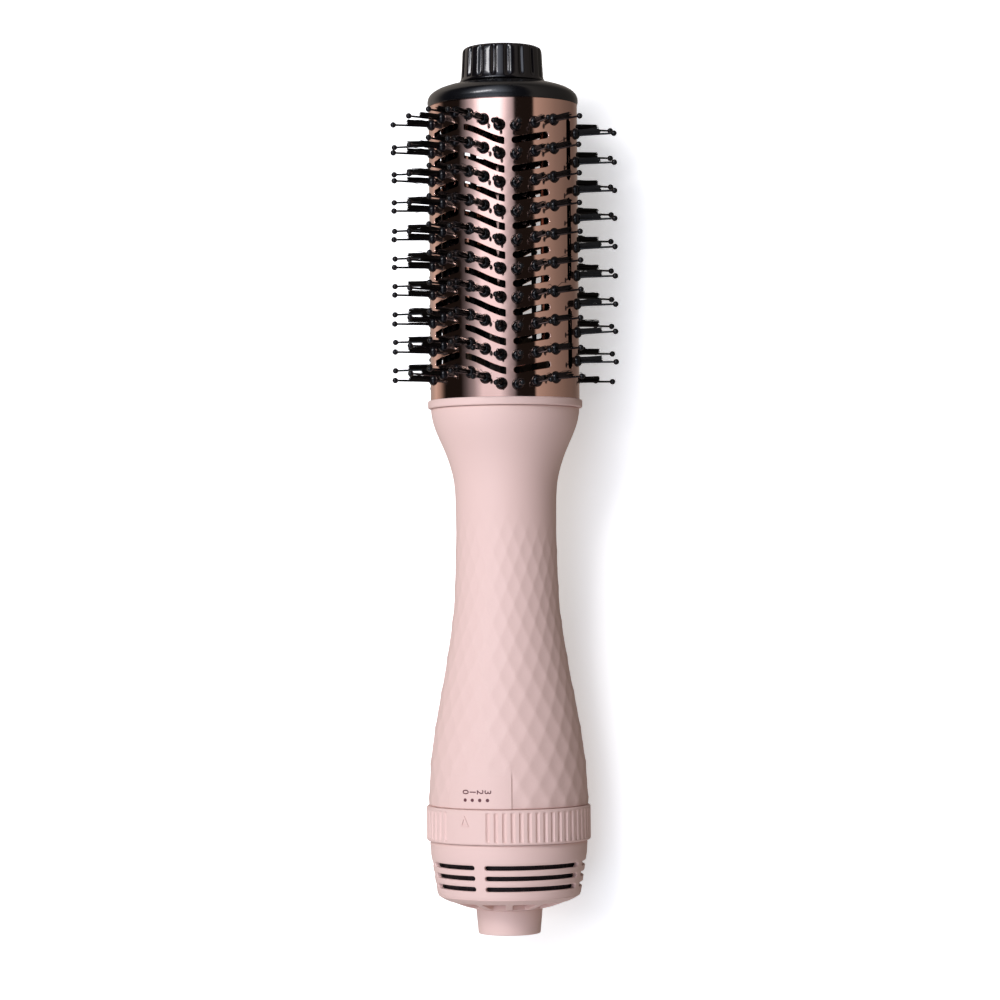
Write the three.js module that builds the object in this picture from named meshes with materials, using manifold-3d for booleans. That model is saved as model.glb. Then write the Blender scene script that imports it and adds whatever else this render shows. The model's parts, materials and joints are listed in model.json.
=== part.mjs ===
// Hot air styling brush: an oval heated barrel with tufted pins on a round handle
// that holds a fan, its motor, a rotary dial switch and a swivelling cord gland.
//
// The tool frame has its X axis along the tool, from the cord gland (u = 0) to the tip.
// An angle phi about that axis runs from the front (+Z) towards -Y, so a point at
// radius r is (u, -r sin(phi), r cos(phi)). The finished tool is tilted about Y so that
// it lies on the dial ring and on the pins nearest the handle. Lengths are millimetres.
import * as THREE from 'three';
import { mergeVertices } from 'three/addons/utils/BufferGeometryUtils.js';
import Module from 'manifold-3d';

const wasm = await Module();
wasm.setup();

// ---------------------------------------------------------------- driving dimensions
const GAP = 0.35;
const WALL = 2;
const TOOL_END = 358.3;

// Handle radius along the tool, from the dial ring to the collar.
const HANDLE_LINE = [
  [51.9, 32.5], [57.3, 32.3], [69, 31.5], [80, 30], [91, 28.1], [104.4, 25.5], [119.7, 23], [131, 21.5],
  [148, 20.8], [170, 20.3], [182, 20.9], [190, 22.9], [200, 27.3], [206, 29.5], [211.4, 30.2],
];
const BACK_COVER_HALF_ANGLE = 66;

// Dial ring and the slide switch that it drives.
const DIAL = { start: 37.8, end: 51.5, radius: 33.1, bore: 30.3, ribs: 57, ribPitch: 5.8, grooveDepth: 0.6 };
const DIAL_TRAVEL = 17.1;
const SWITCH_RADIUS = 24.5;

// Barrel section: an oval whose broad faces are turned a little from the handle's front.
const BARREL = { start: 215.2, end: 334.2, halfWidth: 30.5, halfDepth: 26.5, wall: 0.8, turn: 5.6 };
const ROWS = { count: 10, first: 220.3, pitch: 11.46 };
const PIN = { reach: 17.4, baseRadius: 2, tipRadius: 0.9, holeRadius: 2.7, sides: 3 };
const STRIP = { start: 217.5, end: 331.5, gap: 0.4, thickness: 1.4 };
const SPIGOT_INSET = -4.6;

// A face of the barrel has three panels. Each has three columns of pins, whose rows climb
// or fall by a rise per column, and an air slot between each two rows.
const PANELS = [
  {
    name: 'left', columns: [-57.3, -39.8, -24.8], rises: [3, 4.6, 6.1],
    slot: [-50.6, -23.5], rail: [-62, -20.5],
  },
  {
    name: 'middle', columns: [-12.2, 0, 12.2], rises: [4.9, 2.45, 0],
    slot: [-15.5, 15.5], rail: [-17.7, 17.7],
  },
  {
    name: 'right', columns: [24.8, 39.8, 57.3], rises: [-0.3, 1.1, 2.6],
    slot: [23.5, 50.6], rail: [20.5, 62],
  },
];
// One column of nine pins on each narrow side, between the two faces.
const EDGE_PINS = 9;
const EDGE_COLUMNS = [{ name: 'right_edge', t: 90, rise: 9.9 }, { name: 'left_edge', t: 270, rise: 8.7 }];
const AIR_SLOT_WIDTH = 3.1;
const EDGE_SLOT = { angle: 75.6, width: 2, spans: [[227, 250.5], [262.6, 295], [303, 327]] };
const FACET_EDGES = [6.1, 18.5, 32.3, 48.5, 66, 82];

// The heater stands in the collar, so air and light pass through the barrel above it.
const HEATER = { start: 198, end: 240, boardHalf: 13, coilRadius: 14.6, shieldRadius: 18.2 };

const FAN = { start: 62, end: 73, hubRadius: 8, radius: 23.6, blades: 7, pitch: 38 };
const MOTOR = { start: 78, end: 106, radius: 13, shaftRadius: 1.15 };

const rad = THREE.MathUtils.degToRad;

// ---------------------------------------------------------------- solids and meshes
function closed(geometry) {
  // One closed shell whose faces point out, without the zero-area faces at a lathe's poles.
  const bare = geometry.clone();
  bare.deleteAttribute('normal');
  bare.deleteAttribute('uv');
  const merged = mergeVertices(bare, 1e-4);
  const place = merged.attributes.position;
  const kept = [];
  const [a, b, c] = [new THREE.Vector3(), new THREE.Vector3(), new THREE.Vector3()];
  let volume = 0;
  for (let i = 0; i < merged.index.count; i += 3) {
    const corners = [0, 1, 2].map((k) => merged.index.getX(i + k));
    if (new Set(corners).size < 3) {
      continue;
    }
    a.fromBufferAttribute(place, corners[0]);
    b.fromBufferAttribute(place, corners[1]);
    c.fromBufferAttribute(place, corners[2]);
    volume += a.dot(b.cross(c));
    kept.push(corners);
  }
  const triVerts = kept.flatMap(([i, j, k]) => (volume > 0 ? [i, j, k] : [i, k, j]));
  const vertProperties = new Float32Array(place.array);
  const mesh = new wasm.Mesh({ numProp: 3, vertProperties, triVerts: new Uint32Array(triVerts) });
  return new wasm.Manifold(mesh);
}

function toGeometry(solid) {
  const mesh = solid.getMesh();
  const geometry = new THREE.BufferGeometry();
  geometry.setAttribute('position', new THREE.BufferAttribute(new Float32Array(mesh.vertProperties), 3));
  geometry.setIndex(new THREE.BufferAttribute(new Uint32Array(mesh.triVerts), 1));
  geometry.computeVertexNormals();
  return geometry;
}

function turned(line, segments = 32) {
  // Revolves a line of [u, r] points about the tool's axis.
  const points = line.map(([u, r]) => new THREE.Vector2(r, u));
  const onAxis = line[0][1] === 0 && line.at(-1)[1] === 0;
  if (!onAxis) {
    points.push(points[0].clone());
  }
  const geometry = new THREE.LatheGeometry(points, segments);
  return closed(geometry.rotateZ(-Math.PI / 2));
}

function ring(start, end, bore, radius, segments = 32) {
  return turned([[start, bore], [start, radius], [end, radius], [end, bore]], segments);
}

function disc(start, end, radius, segments = 24) {
  return turned([[start, 0], [start, radius], [end, radius], [end, 0]], segments);
}

const ALONG_TOOL = new THREE.Matrix4().makeBasis(
  new THREE.Vector3(0, -1, 0), new THREE.Vector3(0, 0, 1), new THREE.Vector3(1, 0, 0),
);

function prism(outline, start, end, hole) {
  // Extrudes an outline of [side, front] points along the tool; side is towards -Y.
  // An outline and its hole are given in the same direction, so the hole is reversed.
  const shape = new THREE.Shape(outline.map(([x, y]) => new THREE.Vector2(x, y)));
  if (hole) {
    shape.holes.push(new THREE.Path([...hole].reverse().map(([x, y]) => new THREE.Vector2(x, y))));
  }
  const geometry = new THREE.ExtrudeGeometry(shape, { depth: end - start, bevelEnabled: false, steps: 1 });
  geometry.applyMatrix4(ALONG_TOOL);
  return closed(geometry.translate(start, 0, 0));
}

function block([x0, y0, z0], [x1, y1, z1]) {
  const geometry = new THREE.BoxGeometry(x1 - x0, y1 - y0, z1 - z0);
  return closed(geometry.translate((x0 + x1) / 2, (y0 + y1) / 2, (z0 + z1) / 2));
}

function rod(from, to, startRadius, endRadius, sides) {
  // A straight, possibly tapered rod between two points.
  const start = new THREE.Vector3(...from);
  const along = new THREE.Vector3(...to).sub(start);
  const geometry = new THREE.CylinderGeometry(endRadius, startRadius, along.length(), sides);
  geometry.translate(0, along.length() / 2, 0);
  const up = new THREE.Vector3(0, 1, 0);
  const turn = new THREE.Quaternion().setFromUnitVectors(up, along.clone().normalize());
  geometry.applyQuaternion(turn);
  return closed(geometry.translate(start.x, start.y, start.z));
}

function tube(points, radius, sides, steps) {
  const path = new THREE.CatmullRomCurve3(points.map((point) => new THREE.Vector3(...point)));
  return swept(path, radius, sides, steps);
}

function swept(path, radius, sides, steps) {
  const section = new THREE.Shape();
  for (let i = 0; i < sides; i += 1) {
    const angle = (i / sides) * 2 * Math.PI;
    const [x, y] = [radius * Math.cos(angle), radius * Math.sin(angle)];
    if (i === 0) {
      section.moveTo(x, y);
    } else {
      section.lineTo(x, y);
    }
  }
  section.closePath();
  return closed(new THREE.ExtrudeGeometry(section, { extrudePath: path, steps, bevelEnabled: false }));
}

const polar = (r, phi) => [r * Math.sin(rad(phi)), r * Math.cos(rad(phi))];
const around = (u, r, phi) => [u, -r * Math.sin(rad(phi)), r * Math.cos(rad(phi))];

function sector(u0, u1, r0, r1, from, to, steps = 6) {
  // A piece of a ring between two angles.
  const outline = [];
  for (let i = 0; i <= steps; i += 1) {
    outline.push(polar(r1, from + ((to - from) * i) / steps));
  }
  for (let i = steps; i >= 0; i -= 1) {
    outline.push(polar(r0, from + ((to - from) * i) / steps));
  }
  return prism(outline, u0, u1);
}

// ---------------------------------------------------------------- the exported group
const tool = new THREE.Group();
const SOFT_PINK = { color: 0xe3c3c0, roughness: 0.55, metalness: 0 };
const ROSE_METAL = { color: 0xb98f7d, roughness: 0.2, metalness: 1 };
const GLOSS_BLACK = { color: 0x0d0d0e, roughness: 0.18, metalness: 0 };
const SATIN_BLACK = { color: 0x151516, roughness: 0.42, metalness: 0 };
const DARK_NYLON = { color: 0x202124, roughness: 0.5, metalness: 0 };
const STEEL = { color: 0xb4b6b9, roughness: 0.3, metalness: 1 };
const BRASS = { color: 0xb99a55, roughness: 0.35, metalness: 1 };
const MICA = { color: 0xc9b58a, roughness: 0.5, metalness: 0 };
const BOARD_GREEN = { color: 0x2f6b3f, roughness: 0.5, metalness: 0 };
const RUBBER = { color: 0x1a1a1a, roughness: 0.85, metalness: 0 };
const FILTER_GREY = { color: 0x3a3436, roughness: 0.6, metalness: 0.2 };
const LEAD_RED = { color: 0x8c2f2a, roughness: 0.6, metalness: 0 };
const LEAD_BLUE = { color: 0x2c4a78, roughness: 0.6, metalness: 0 };

function add(name, solid, finish) {
  const mesh = new THREE.Mesh(toGeometry(solid), new THREE.MeshStandardMaterial(finish));
  mesh.name = name;
  tool.add(mesh);
}

// ---------------------------------------------------------------- cord gland and inlet
function cordGland() {
  const bore = 4.2;
  return turned([
    [0, bore], [0, 12.5], [9.8, 13.4], [9.8, 11], [12.7, 11], [12.7, 9], [15.2, 9], [15.2, bore],
  ], 20);
}

function tailCover() {
  // A domed cover with a ring of recesses between spokes; a thin floor closes them inside.
  const shell = turned([
    [10.2, 11.35], [10.2, 14.2], [11.2, 18.6], [13, 23.9], [15.5, 28.6],
    [15.5, 26.6], [14.2, 22], [12.8, 17.5], [12.4, 11.35],
  ], 24);
  const windows = 12;
  const spoke = 2.4;
  const [inner, outer] = [14.8, 24.5];
  let cut = shell;
  for (let i = 0; i < windows; i += 1) {
    const phi = 37.5 + (360 / windows) * i;
    const half = (r) => THREE.MathUtils.radToDeg(Math.PI / windows - spoke / 2 / r);
    const outline = [
      polar(inner, phi - half(inner)), polar(outer, phi - half(outer)),
      polar(outer, phi + half(outer)), polar(inner, phi + half(inner)),
    ];
    cut = cut.subtract(prism(outline, 8, 16));
  }
  const floor = turned([
    [11.7, 11.35], [12.1, 17.5], [13.5, 22], [14.9, 26.2],
    [15.5, 26.6], [14.2, 22], [12.8, 17.5], [12.4, 11.35],
  ], 24);
  return cut.add(floor);
}

function inletHousing() {
  // The slotted shell, with a sleeve that the dial ring turns on.
  const sleeve = 29.95;
  let shell = turned([
    [15.8, 26.9], [15.8, 28.85], [22.2, 29.9], [31.4, 31.4], [37.4, 31.8],
    [37.4, sleeve], [58, sleeve], [58, 28.4], [32, 28.9],
  ], 28);
  const webs = [0, 90, 180, 235, 305, 360];
  const halfWeb = 4;
  const slotHeight = 1.9;
  for (const middle of [20, 24.3, 28.5]) {
    for (let i = 0; i + 1 < webs.length; i += 1) {
      const slot = sector(
        middle - slotHeight / 2, middle + slotHeight / 2, 26, 33, webs[i] + halfWeb, webs[i + 1] - halfWeb, 3,
      );
      shell = shell.subtract(slot);
    }
  }
  const lugWindow = block([41.6, -9, -32], [47.4, 9, -26]);
  return shell.subtract(lugWindow);
}

function inletFilter() {
  // A conical dust screen that lies close behind the slots.
  return turned([[17, 25.9], [17, 26.6], [31.5, 28.4], [31.5, 27.7]], 28);
}

function dialRing() {
  // Ribs all round, but for a smooth part of 29 degrees that carries the pointer.
  const outline = [];
  const zone = -9.5;
  const first = zone + 14.5;
  for (let i = 0; i < DIAL.ribs; i += 1) {
    const edge = first + i * DIAL.ribPitch;
    outline.push(polar(DIAL.radius, edge));
    outline.push(polar(DIAL.radius, edge + DIAL.ribPitch - 1.5));
    outline.push(polar(DIAL.radius - DIAL.grooveDepth, edge + DIAL.ribPitch - 0.75));
  }
  for (const phi of [-9.7, -4.8, 0, 4.8, 9.7]) {
    outline.push(polar(DIAL.radius, zone + phi));
  }
  const bore = [];
  for (let i = 0; i < 36; i += 1) {
    bore.push(polar(DIAL.bore, i * 10));
  }
  const ringSolid = prism(outline, DIAL.start, DIAL.end, bore);
  const lugAngle = 180 - DIAL_TRAVEL / 2;
  const lug = sector(42.5, 46.5, SWITCH_RADIUS + 0.9, DIAL.bore + 0.6, lugAngle - 7, lugAngle + 7, 2);
  const slot = sector(42, 47, SWITCH_RADIUS - 1, SWITCH_RADIUS + 4.2, lugAngle - 3.6, lugAngle + 3.6, 1);
  return ringSolid.add(lug.subtract(slot));
}

function switchSlider() {
  const middle = -SWITCH_RADIUS * Math.sin(rad(DIAL_TRAVEL / 2));
  const foot = block([42, middle - 2.6, -24.2], [47, middle + 2.6, -23]);
  const knob = block([43.2, middle - 1, -27.4], [45.8, middle + 1, -23.6]);
  return foot.add(knob);
}

add('cord_gland', cordGland(), SOFT_PINK);
add('swivel_clip', ring(13.1, 14.8, 9.35, 13.2, 16), STEEL);
add('tail_cover', tailCover(), SOFT_PINK);
add('inlet_housing', inletHousing(), SOFT_PINK);
add('inlet_filter', inletFilter(), FILTER_GREY);
add('dial_ring', dialRing(), SOFT_PINK);
add('switch_body', block([39.5, -8, -22.6], [49.5, 8, -17.6]), DARK_NYLON);
add('switch_slider', switchSlider(), SATIN_BLACK);
add('circuit_board', block([35, -17, -17.2], [58, 17, -15.6]), BOARD_GREEN);
add('rectifier', block([50.5, -5, -15.2], [55.5, 5, -8]), DARK_NYLON);
add('capacitor', rod([37, 9, -10.4], [49, 9, -10.4], 4.6, 4.6, 16), STEEL);

// ---------------------------------------------------------------- handle
const handleInner = HANDLE_LINE.map(([u, r]) => [u, r - WALL]);
const handleShell = turned([...HANDLE_LINE, ...handleInner.reverse()], 26);
const SCREW_PLACES = [{ name: 'lower', u: 124, wall: 21.2 }, { name: 'upper', u: 192, wall: 22.6 }];

function handleFront() {
  const from = 180 - BACK_COVER_HALF_ANGLE - 0.4;
  const outline = [[0, 0], polar(60, from), polar(90, 180), polar(60, -from)];
  let shell = handleShell.subtract(prism(outline, 50, 214));
  for (const { u, wall } of SCREW_PLACES) {
    const boss = rod([u, 0, wall], [u, 0, -13], 3, 3, 12);
    const pilot = rod([u, 0, 5], [u, 0, -14], 1.5, 1.5, 10);
    shell = shell.add(boss.subtract(pilot));
  }
  return shell;
}

function handleBack() {
  const from = 180 - BACK_COVER_HALF_ANGLE + 0.4;
  const outline = [[0, 0], polar(60, from), polar(90, 180), polar(60, -from)];
  let cover = handleShell.intersect(prism(outline, 50, 214));
  for (const { u } of SCREW_PLACES) {
    const seat = rod([u, 0, -13.6], [u, 0, -20.6], 4.2, 4.2, 16);
    const bore = rod([u, 0, -13], [u, 0, -26], 1.7, 1.7, 12);
    const headBore = rod([u, 0, -16.6], [u, 0, -26], 2.9, 2.9, 16);
    cover = cover.add(seat).subtract(bore).subtract(headBore);
  }
  return cover;
}

function handleScrew(u) {
  const shank = rod([u, 0, -3], [u, 0, -17.5], 1.1, 1.1, 10);
  const head = rod([u, 0, -17], [u, 0, -18.8], 2.4, 2.4, 14);
  const drive = block([u - 1.5, -0.3, -19.2], [u + 1.5, 0.3, -18.1]);
  const driveAcross = block([u - 0.3, -1.5, -19.2], [u + 0.3, 1.5, -18.1]);
  return shank.add(head).subtract(drive).subtract(driveAcross);
}

add('handle_front', handleFront(), SOFT_PINK);
add('handle_back', handleBack(), SOFT_PINK);
for (const { name, u } of SCREW_PLACES) {
  add(`handle_screw_${name}`, handleScrew(u), STEEL);
}

// ---------------------------------------------------------------- fan and motor
function fanImpeller() {
  let impeller = turned([
    [FAN.start, 0], [FAN.start, 4], [FAN.start + 4, FAN.hubRadius], [FAN.end, FAN.hubRadius],
    [FAN.end, 0],
  ], 20);
  for (let i = 0; i < FAN.blades; i += 1) {
    const blade = new THREE.BoxGeometry(11, 1.4, FAN.radius - 6.5);
    blade.rotateZ(rad(FAN.pitch));
    blade.translate((FAN.start + FAN.end) / 2 + 0.8, 0, (FAN.radius + 6.5) / 2);
    blade.rotateX(rad((360 / FAN.blades) * i));
    impeller = impeller.add(closed(blade));
  }
  return impeller.subtract(disc(FAN.start - 2, FAN.end + 2, MOTOR.shaftRadius + 0.05, 12));
}

function motorCan() {
  const bore = 4.3;
  return turned([
    [MOTOR.start, MOTOR.radius], [MOTOR.end, MOTOR.radius], [MOTOR.end, bore], [MOTOR.end - 1, bore],
    [MOTOR.end - 1, MOTOR.radius - 1], [MOTOR.start, MOTOR.radius - 1],
  ], 24);
}

function rotorCore() {
  return ring(81, 101, MOTOR.shaftRadius + 0.3, 9.6, 20);
}

function motorMount() {
  // A sleeve round the motor, on four vanes that stand off the handle's wall.
  let mount = ring(82, 104, MOTOR.radius + GAP, MOTOR.radius + 1.9, 24);
  for (const phi of [45, 135, 225, 315]) {
    const vane = new THREE.BoxGeometry(16, 1.4, 9.2);
    vane.translate(92, 0, MOTOR.radius + 5.6);
    vane.rotateX(rad(phi));
    mount = mount.add(closed(vane));
  }
  return mount;
}

add('fan_shroud', ring(59.5, 75, 24.4, 25.9, 28), DARK_NYLON);
add('fan_impeller', fanImpeller(), DARK_NYLON);
add('motor_shaft', disc(60.5, 109, MOTOR.shaftRadius, 12), STEEL);
add('rotor_core', rotorCore(), BRASS);
add('motor_can', motorCan(), STEEL);
add('motor_end_cap', ring(75.6, 77.7, 4.3, MOTOR.radius, 24), DARK_NYLON);
add('lower_bearing', ring(75.4, 78, MOTOR.shaftRadius + 0.06, 4, 16), BRASS);
add('upper_bearing', ring(104.4, 106.6, MOTOR.shaftRadius + 0.06, 4, 16), BRASS);
add('motor_mount', motorMount(), DARK_NYLON);
add('damper_ring', ring(106.9, 110, 5, 12.6, 24), RUBBER);

// Two heater leads run from the circuit board, past the fan, up the neck to the heater.
function heaterLead(phi) {
  const route = [
    [56, 27], [66, 27.2], [76, 26.9], [92, 23.6], [108, 20.8], [126, 17.4], [150, 16.6], [180, 16.4],
    [190, 16.2], [197, 15.8],
  ];
  return tube(route.map(([u, r]) => around(u, r, phi)), 0.9, 4, 14);
}

add('live_lead', heaterLead(84), LEAD_RED);
add('neutral_lead', heaterLead(276), LEAD_BLUE);

// ---------------------------------------------------------------- barrel
function ovalPoint(t, offset = 0) {
  // A point of the barrel's section, t degrees from the middle of its face.
  const normal = new THREE.Vector2(BARREL.halfDepth * Math.sin(rad(t)), BARREL.halfWidth * Math.cos(rad(t)));
  const point = new THREE.Vector2(BARREL.halfWidth * Math.sin(rad(t)), BARREL.halfDepth * Math.cos(rad(t)));
  point.addScaledVector(normal.normalize(), offset);
  point.rotateAround(new THREE.Vector2(), -rad(BARREL.turn));
  return [point.x, point.y];
}

const facetAngles = [
  ...FACET_EDGES.map((t) => -t).reverse(), ...FACET_EDGES,
  ...FACET_EDGES.map((t) => 180 - t).reverse(), ...FACET_EDGES.map((t) => 180 + t),
];
const ovalLoop = (offset) => facetAngles.map((t) => ovalPoint(t, offset));

function across(t, offset, u) {
  const [side, front] = ovalPoint(t, offset);
  return [u, -side, front];
}

function pinCutter(t, u) {
  return rod(across(t, -6, u), across(t, 4, u), PIN.holeRadius, PIN.holeRadius, PIN.sides);
}

function airSlot(face, panel, row, width) {
  // A slanted slot midway between two rows, parallel to the rows of its panel.
  const [from, to] = panel.slot.map((t) => across(face + t, 0, 0));
  const slope = panel.rises[2] - panel.rises[0];
  const share = (panel.slot[1] - panel.slot[0]) / (panel.columns[2] - panel.columns[0]);
  const middle = ROWS.first + ROWS.pitch * (row + 0.5) + (panel.rises[0] + panel.rises[2]) / 2;
  const length = Math.hypot(to[1] - from[1], to[2] - from[2]);
  const cutter = new THREE.BoxGeometry(width, length, 12);
  cutter.rotateZ(Math.atan2(slope * share, length));
  const centre = [(from[1] + to[1]) / 2, (from[2] + to[2]) / 2];
  const facing = Math.atan2(-centre[0], centre[1]);
  cutter.rotateX(facing);
  return closed(cutter.translate(middle, centre[0], centre[1]));
}

function barrel() {
  let shell = prism(ovalLoop(0), BARREL.start, BARREL.end, ovalLoop(-BARREL.wall));
  const cutters = [];
  for (const face of [0, 180]) {
    for (const panel of PANELS) {
      panel.columns.forEach((t, column) => {
        for (let row = 0; row < ROWS.count; row += 1) {
          cutters.push(pinCutter(face + t, ROWS.first + ROWS.pitch * row + panel.rises[column]));
        }
      });
      for (let row = 0; row + 1 < ROWS.count; row += 1) {
        cutters.push(airSlot(face, panel, row, AIR_SLOT_WIDTH));
      }
    }
    for (const t of [EDGE_SLOT.angle, 180 - EDGE_SLOT.angle]) {
      for (const [low, high] of EDGE_SLOT.spans) {
        const [, y, z] = across(face + t, 0, 0);
        const cutter = new THREE.BoxGeometry(high - low, EDGE_SLOT.width, 10);
        cutter.rotateX(Math.atan2(-y, z));
        cutters.push(closed(cutter.translate((low + high) / 2, y, z)));
      }
    }
  }
  for (const { t, rise } of EDGE_COLUMNS) {
    for (let row = 0; row < EDGE_PINS; row += 1) {
      cutters.push(pinCutter(t, ROWS.first + ROWS.pitch * row + rise));
    }
  }
  return shell.subtract(wasm.Manifold.union(cutters));
}

function bristleStrip(columns, rises, count, [from, to], face, panel) {
  // A flat rail just inside the barrel wall, with its pins standing out through the holes.
  const outer = -(BARREL.wall + STRIP.gap);
  const [left, right] = [from, to].map((t) => new THREE.Vector2(...ovalPoint(face + t, outer)));
  const inward = new THREE.Vector2(left.y - right.y, right.x - left.x).normalize().negate();
  const middle = inward.clone().multiplyScalar(STRIP.thickness / 2);
  const corners = [left, right, right.clone().addScaledVector(inward, STRIP.thickness),
    left.clone().addScaledVector(inward, STRIP.thickness)];
  let strip = prism(corners.map(({ x, y }) => [x, y]), STRIP.start, STRIP.end);
  if (panel) {
    const windows = [];
    for (let row = 0; row + 1 < ROWS.count; row += 1) {
      windows.push(airSlot(face, panel, row, AIR_SLOT_WIDTH));
    }
    strip = strip.subtract(wasm.Manifold.union(windows));
  }
  const pins = [];
  columns.forEach((t, column) => {
    // The pin's line meets the rail's middle plane at its foot.
    const tip = new THREE.Vector2(...ovalPoint(face + t, PIN.reach));
    const down = new THREE.Vector2(...ovalPoint(face + t, 0)).sub(tip).normalize();
    const depth = left.clone().add(middle).sub(tip).dot(inward) / down.dot(inward);
    const foot = tip.clone().addScaledVector(down, depth);
    for (let row = 0; row < count; row += 1) {
      const u = ROWS.first + ROWS.pitch * row + rises[column];
      pins.push(rod([u, -foot.x, foot.y], [u, -tip.x, tip.y], PIN.baseRadius, PIN.tipRadius, PIN.sides));
    }
  });
  return strip.add(wasm.Manifold.union(pins));
}

add('barrel', barrel(), ROSE_METAL);
for (const [face, side] of [[0, 'front'], [180, 'back']]) {
  for (const panel of PANELS) {
    const strip = bristleStrip(panel.columns, panel.rises, ROWS.count, panel.rail, face, panel);
    add(`bristle_strip_${side}_${panel.name}`, strip, GLOSS_BLACK);
  }
}
for (const { name, t, rise } of EDGE_COLUMNS) {
  add(`bristle_strip_${name}`, bristleStrip([0], [rise], EDGE_PINS, [-6, 6], t, null), GLOSS_BLACK);
}

// ---------------------------------------------------------------- collar, seat and heater
function barrelSeat() {
  // A heat-proof ring in the collar, with an oval spigot inside the barrel.
  const bore = 19.4;
  const flange = ring(207.5, 215.6, bore, 21.6, 24);
  const spigot = prism(ovalLoop(SPIGOT_INSET), BARREL.start, 224, circleLoop(bore));
  return flange.add(spigot);
}

function circleLoop(radius, count = 24) {
  return Array.from({ length: count }, (_, i) => polar(radius, (i * 360) / count));
}

function heaterBoard(upright) {
  // One of two mica boards that slot into each other to make a cross.
  const { start, end, boardHalf } = HEATER;
  const middle = (start + end) / 2;
  const board = block([start, -boardHalf, -0.4], [end, boardHalf, 0.4]);
  const [slotFrom, slotTo] = upright ? [start - 2, middle + 0.4] : [middle - 0.4, end + 2];
  const slot = block([slotFrom, -0.75, -1], [slotTo, 0.75, 1]);
  const cut = board.subtract(slot);
  return upright ? cut.rotate([90, 0, 0]) : cut;
}

function heaterCoil() {
  const turns = 5;
  const radius = HEATER.coilRadius;
  const [from, to] = [HEATER.start + 6, HEATER.end - 4];
  class Helix extends THREE.Curve {
    getPoint(s, target = new THREE.Vector3()) {
      const angle = s * turns * 2 * Math.PI;
      return target.set(from + (to - from) * s, radius * Math.cos(angle), radius * Math.sin(angle));
    }
  }
  return swept(new Helix(), 0.6, 3, turns * 12);
}

add('collar_ring', ring(211.8, 214.9, 24.4, 31.3, 36), SOFT_PINK);
add('barrel_seat', barrelSeat(), SATIN_BLACK);
add('heater_board_flat', heaterBoard(false), MICA);
add('heater_board_upright', heaterBoard(true), MICA);
add('heater_coil', heaterCoil(), STEEL);
const { start: heaterStart, end: heaterEnd, shieldRadius } = HEATER;
add('heater_sleeve', ring(heaterStart + 2.5, heaterEnd - 1, shieldRadius - 0.6, shieldRadius, 24), MICA);
add('thermostat', disc(heaterEnd + 0.5, heaterEnd + 5.5, 6, 20), STEEL);
add('thermal_fuse', rod([208, 6, 3.4], [222, 6, 3.4], 1.6, 1.6, 12), BRASS);

// ---------------------------------------------------------------- end cap and tip
function endCap() {
  // An oval domed flange with a spigot inside the barrel.
  const flange = [
    [334.5, 0], [334.5, 30.6], [337.6, 30.9], [339.6, 29.6], [341.2, 27], [342.8, 22], [343.6, 17.9],
    [343.6, 0],
  ];
  const dome = turned(flange, 36);
  const narrow = 0.92;
  const flat = dome.rotate([-BARREL.turn, 0, 0]).scale([1, 1, narrow]).rotate([BARREL.turn, 0, 0]);
  const spigot = prism(ovalLoop(SPIGOT_INSET), 326, 335, ovalLoop(SPIGOT_INSET - 2));
  const bore = disc(330, 350, 2.4, 16);
  return flat.add(spigot).subtract(bore);
}

function tipKnob() {
  const flutes = 18;
  const outline = [];
  for (let i = 0; i < flutes; i += 1) {
    const phi = (i * 360) / flutes;
    outline.push(polar(16.2, phi - 6.6), polar(16.2, phi + 6.6), polar(15.1, phi + 10));
  }
  const ribEnd = TOOL_END - 1;
  const base = turned([[343.95, 0], [343.95, 17.2], [344.8, 17.2], [346.2, 16.7], [346.2, 0]], 24);
  const ribs = prism(outline, 346, ribEnd);
  const top = turned([
    [ribEnd - 0.4, 0], [ribEnd - 0.4, 15.9], [ribEnd, 15.9], [TOOL_END, 14.8], [TOOL_END, 0],
  ], 24);
  const screwBore = disc(343, 352, 2.1, 16);
  return base.add(ribs).add(top).subtract(screwBore);
}

function tipScrew() {
  // Its slotted head is inside the cap, and its shank holds the knob on.
  const [headStart, headEnd, shankEnd] = [330.4, 334.1, 351.5];
  const drive = block([headStart - 1, -0.5, -3], [headStart + 1.2, 0.5, 3]);
  return disc(headStart, headEnd, 4.4, 16).subtract(drive).add(disc(headEnd - 0.5, shankEnd, 1.7, 12));
}

add('end_cap', endCap(), SATIN_BLACK);
add('tip_knob', tipKnob(), GLOSS_BLACK);
add('tip_screw', tipScrew(), STEEL);

// ---------------------------------------------------------------- lying on a surface
// The dial ring's lower edge and the nearest row of pins carry the tool.
const pinReach = BARREL.halfDepth + PIN.reach;
const tilt = Math.asin((pinReach - DIAL.radius) / (ROWS.first + PANELS[1].rises[1] - DIAL.start));
tool.rotation.y = -tilt;
tool.updateMatrixWorld(true);
const box = new THREE.Box3().setFromObject(tool, true);
tool.position.set(-(box.min.x + box.max.x) / 2, -(box.min.y + box.max.y) / 2, -box.min.z);

export default tool;
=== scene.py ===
"""Looks of the hot air brush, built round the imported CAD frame.

Shapes are worked out in the tool frame, in millimetres: u runs along the tool from the
cord gland to the tip, y to the left seen from above with the tip away, z to the front.
phi is an angle about the tool's axis from the front towards -y.
"""
import json
import math

import bmesh
import bpy
import numpy as np
from mathutils import Matrix, Vector
from mathutils.geometry import delaunay_2d_cdt


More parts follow.
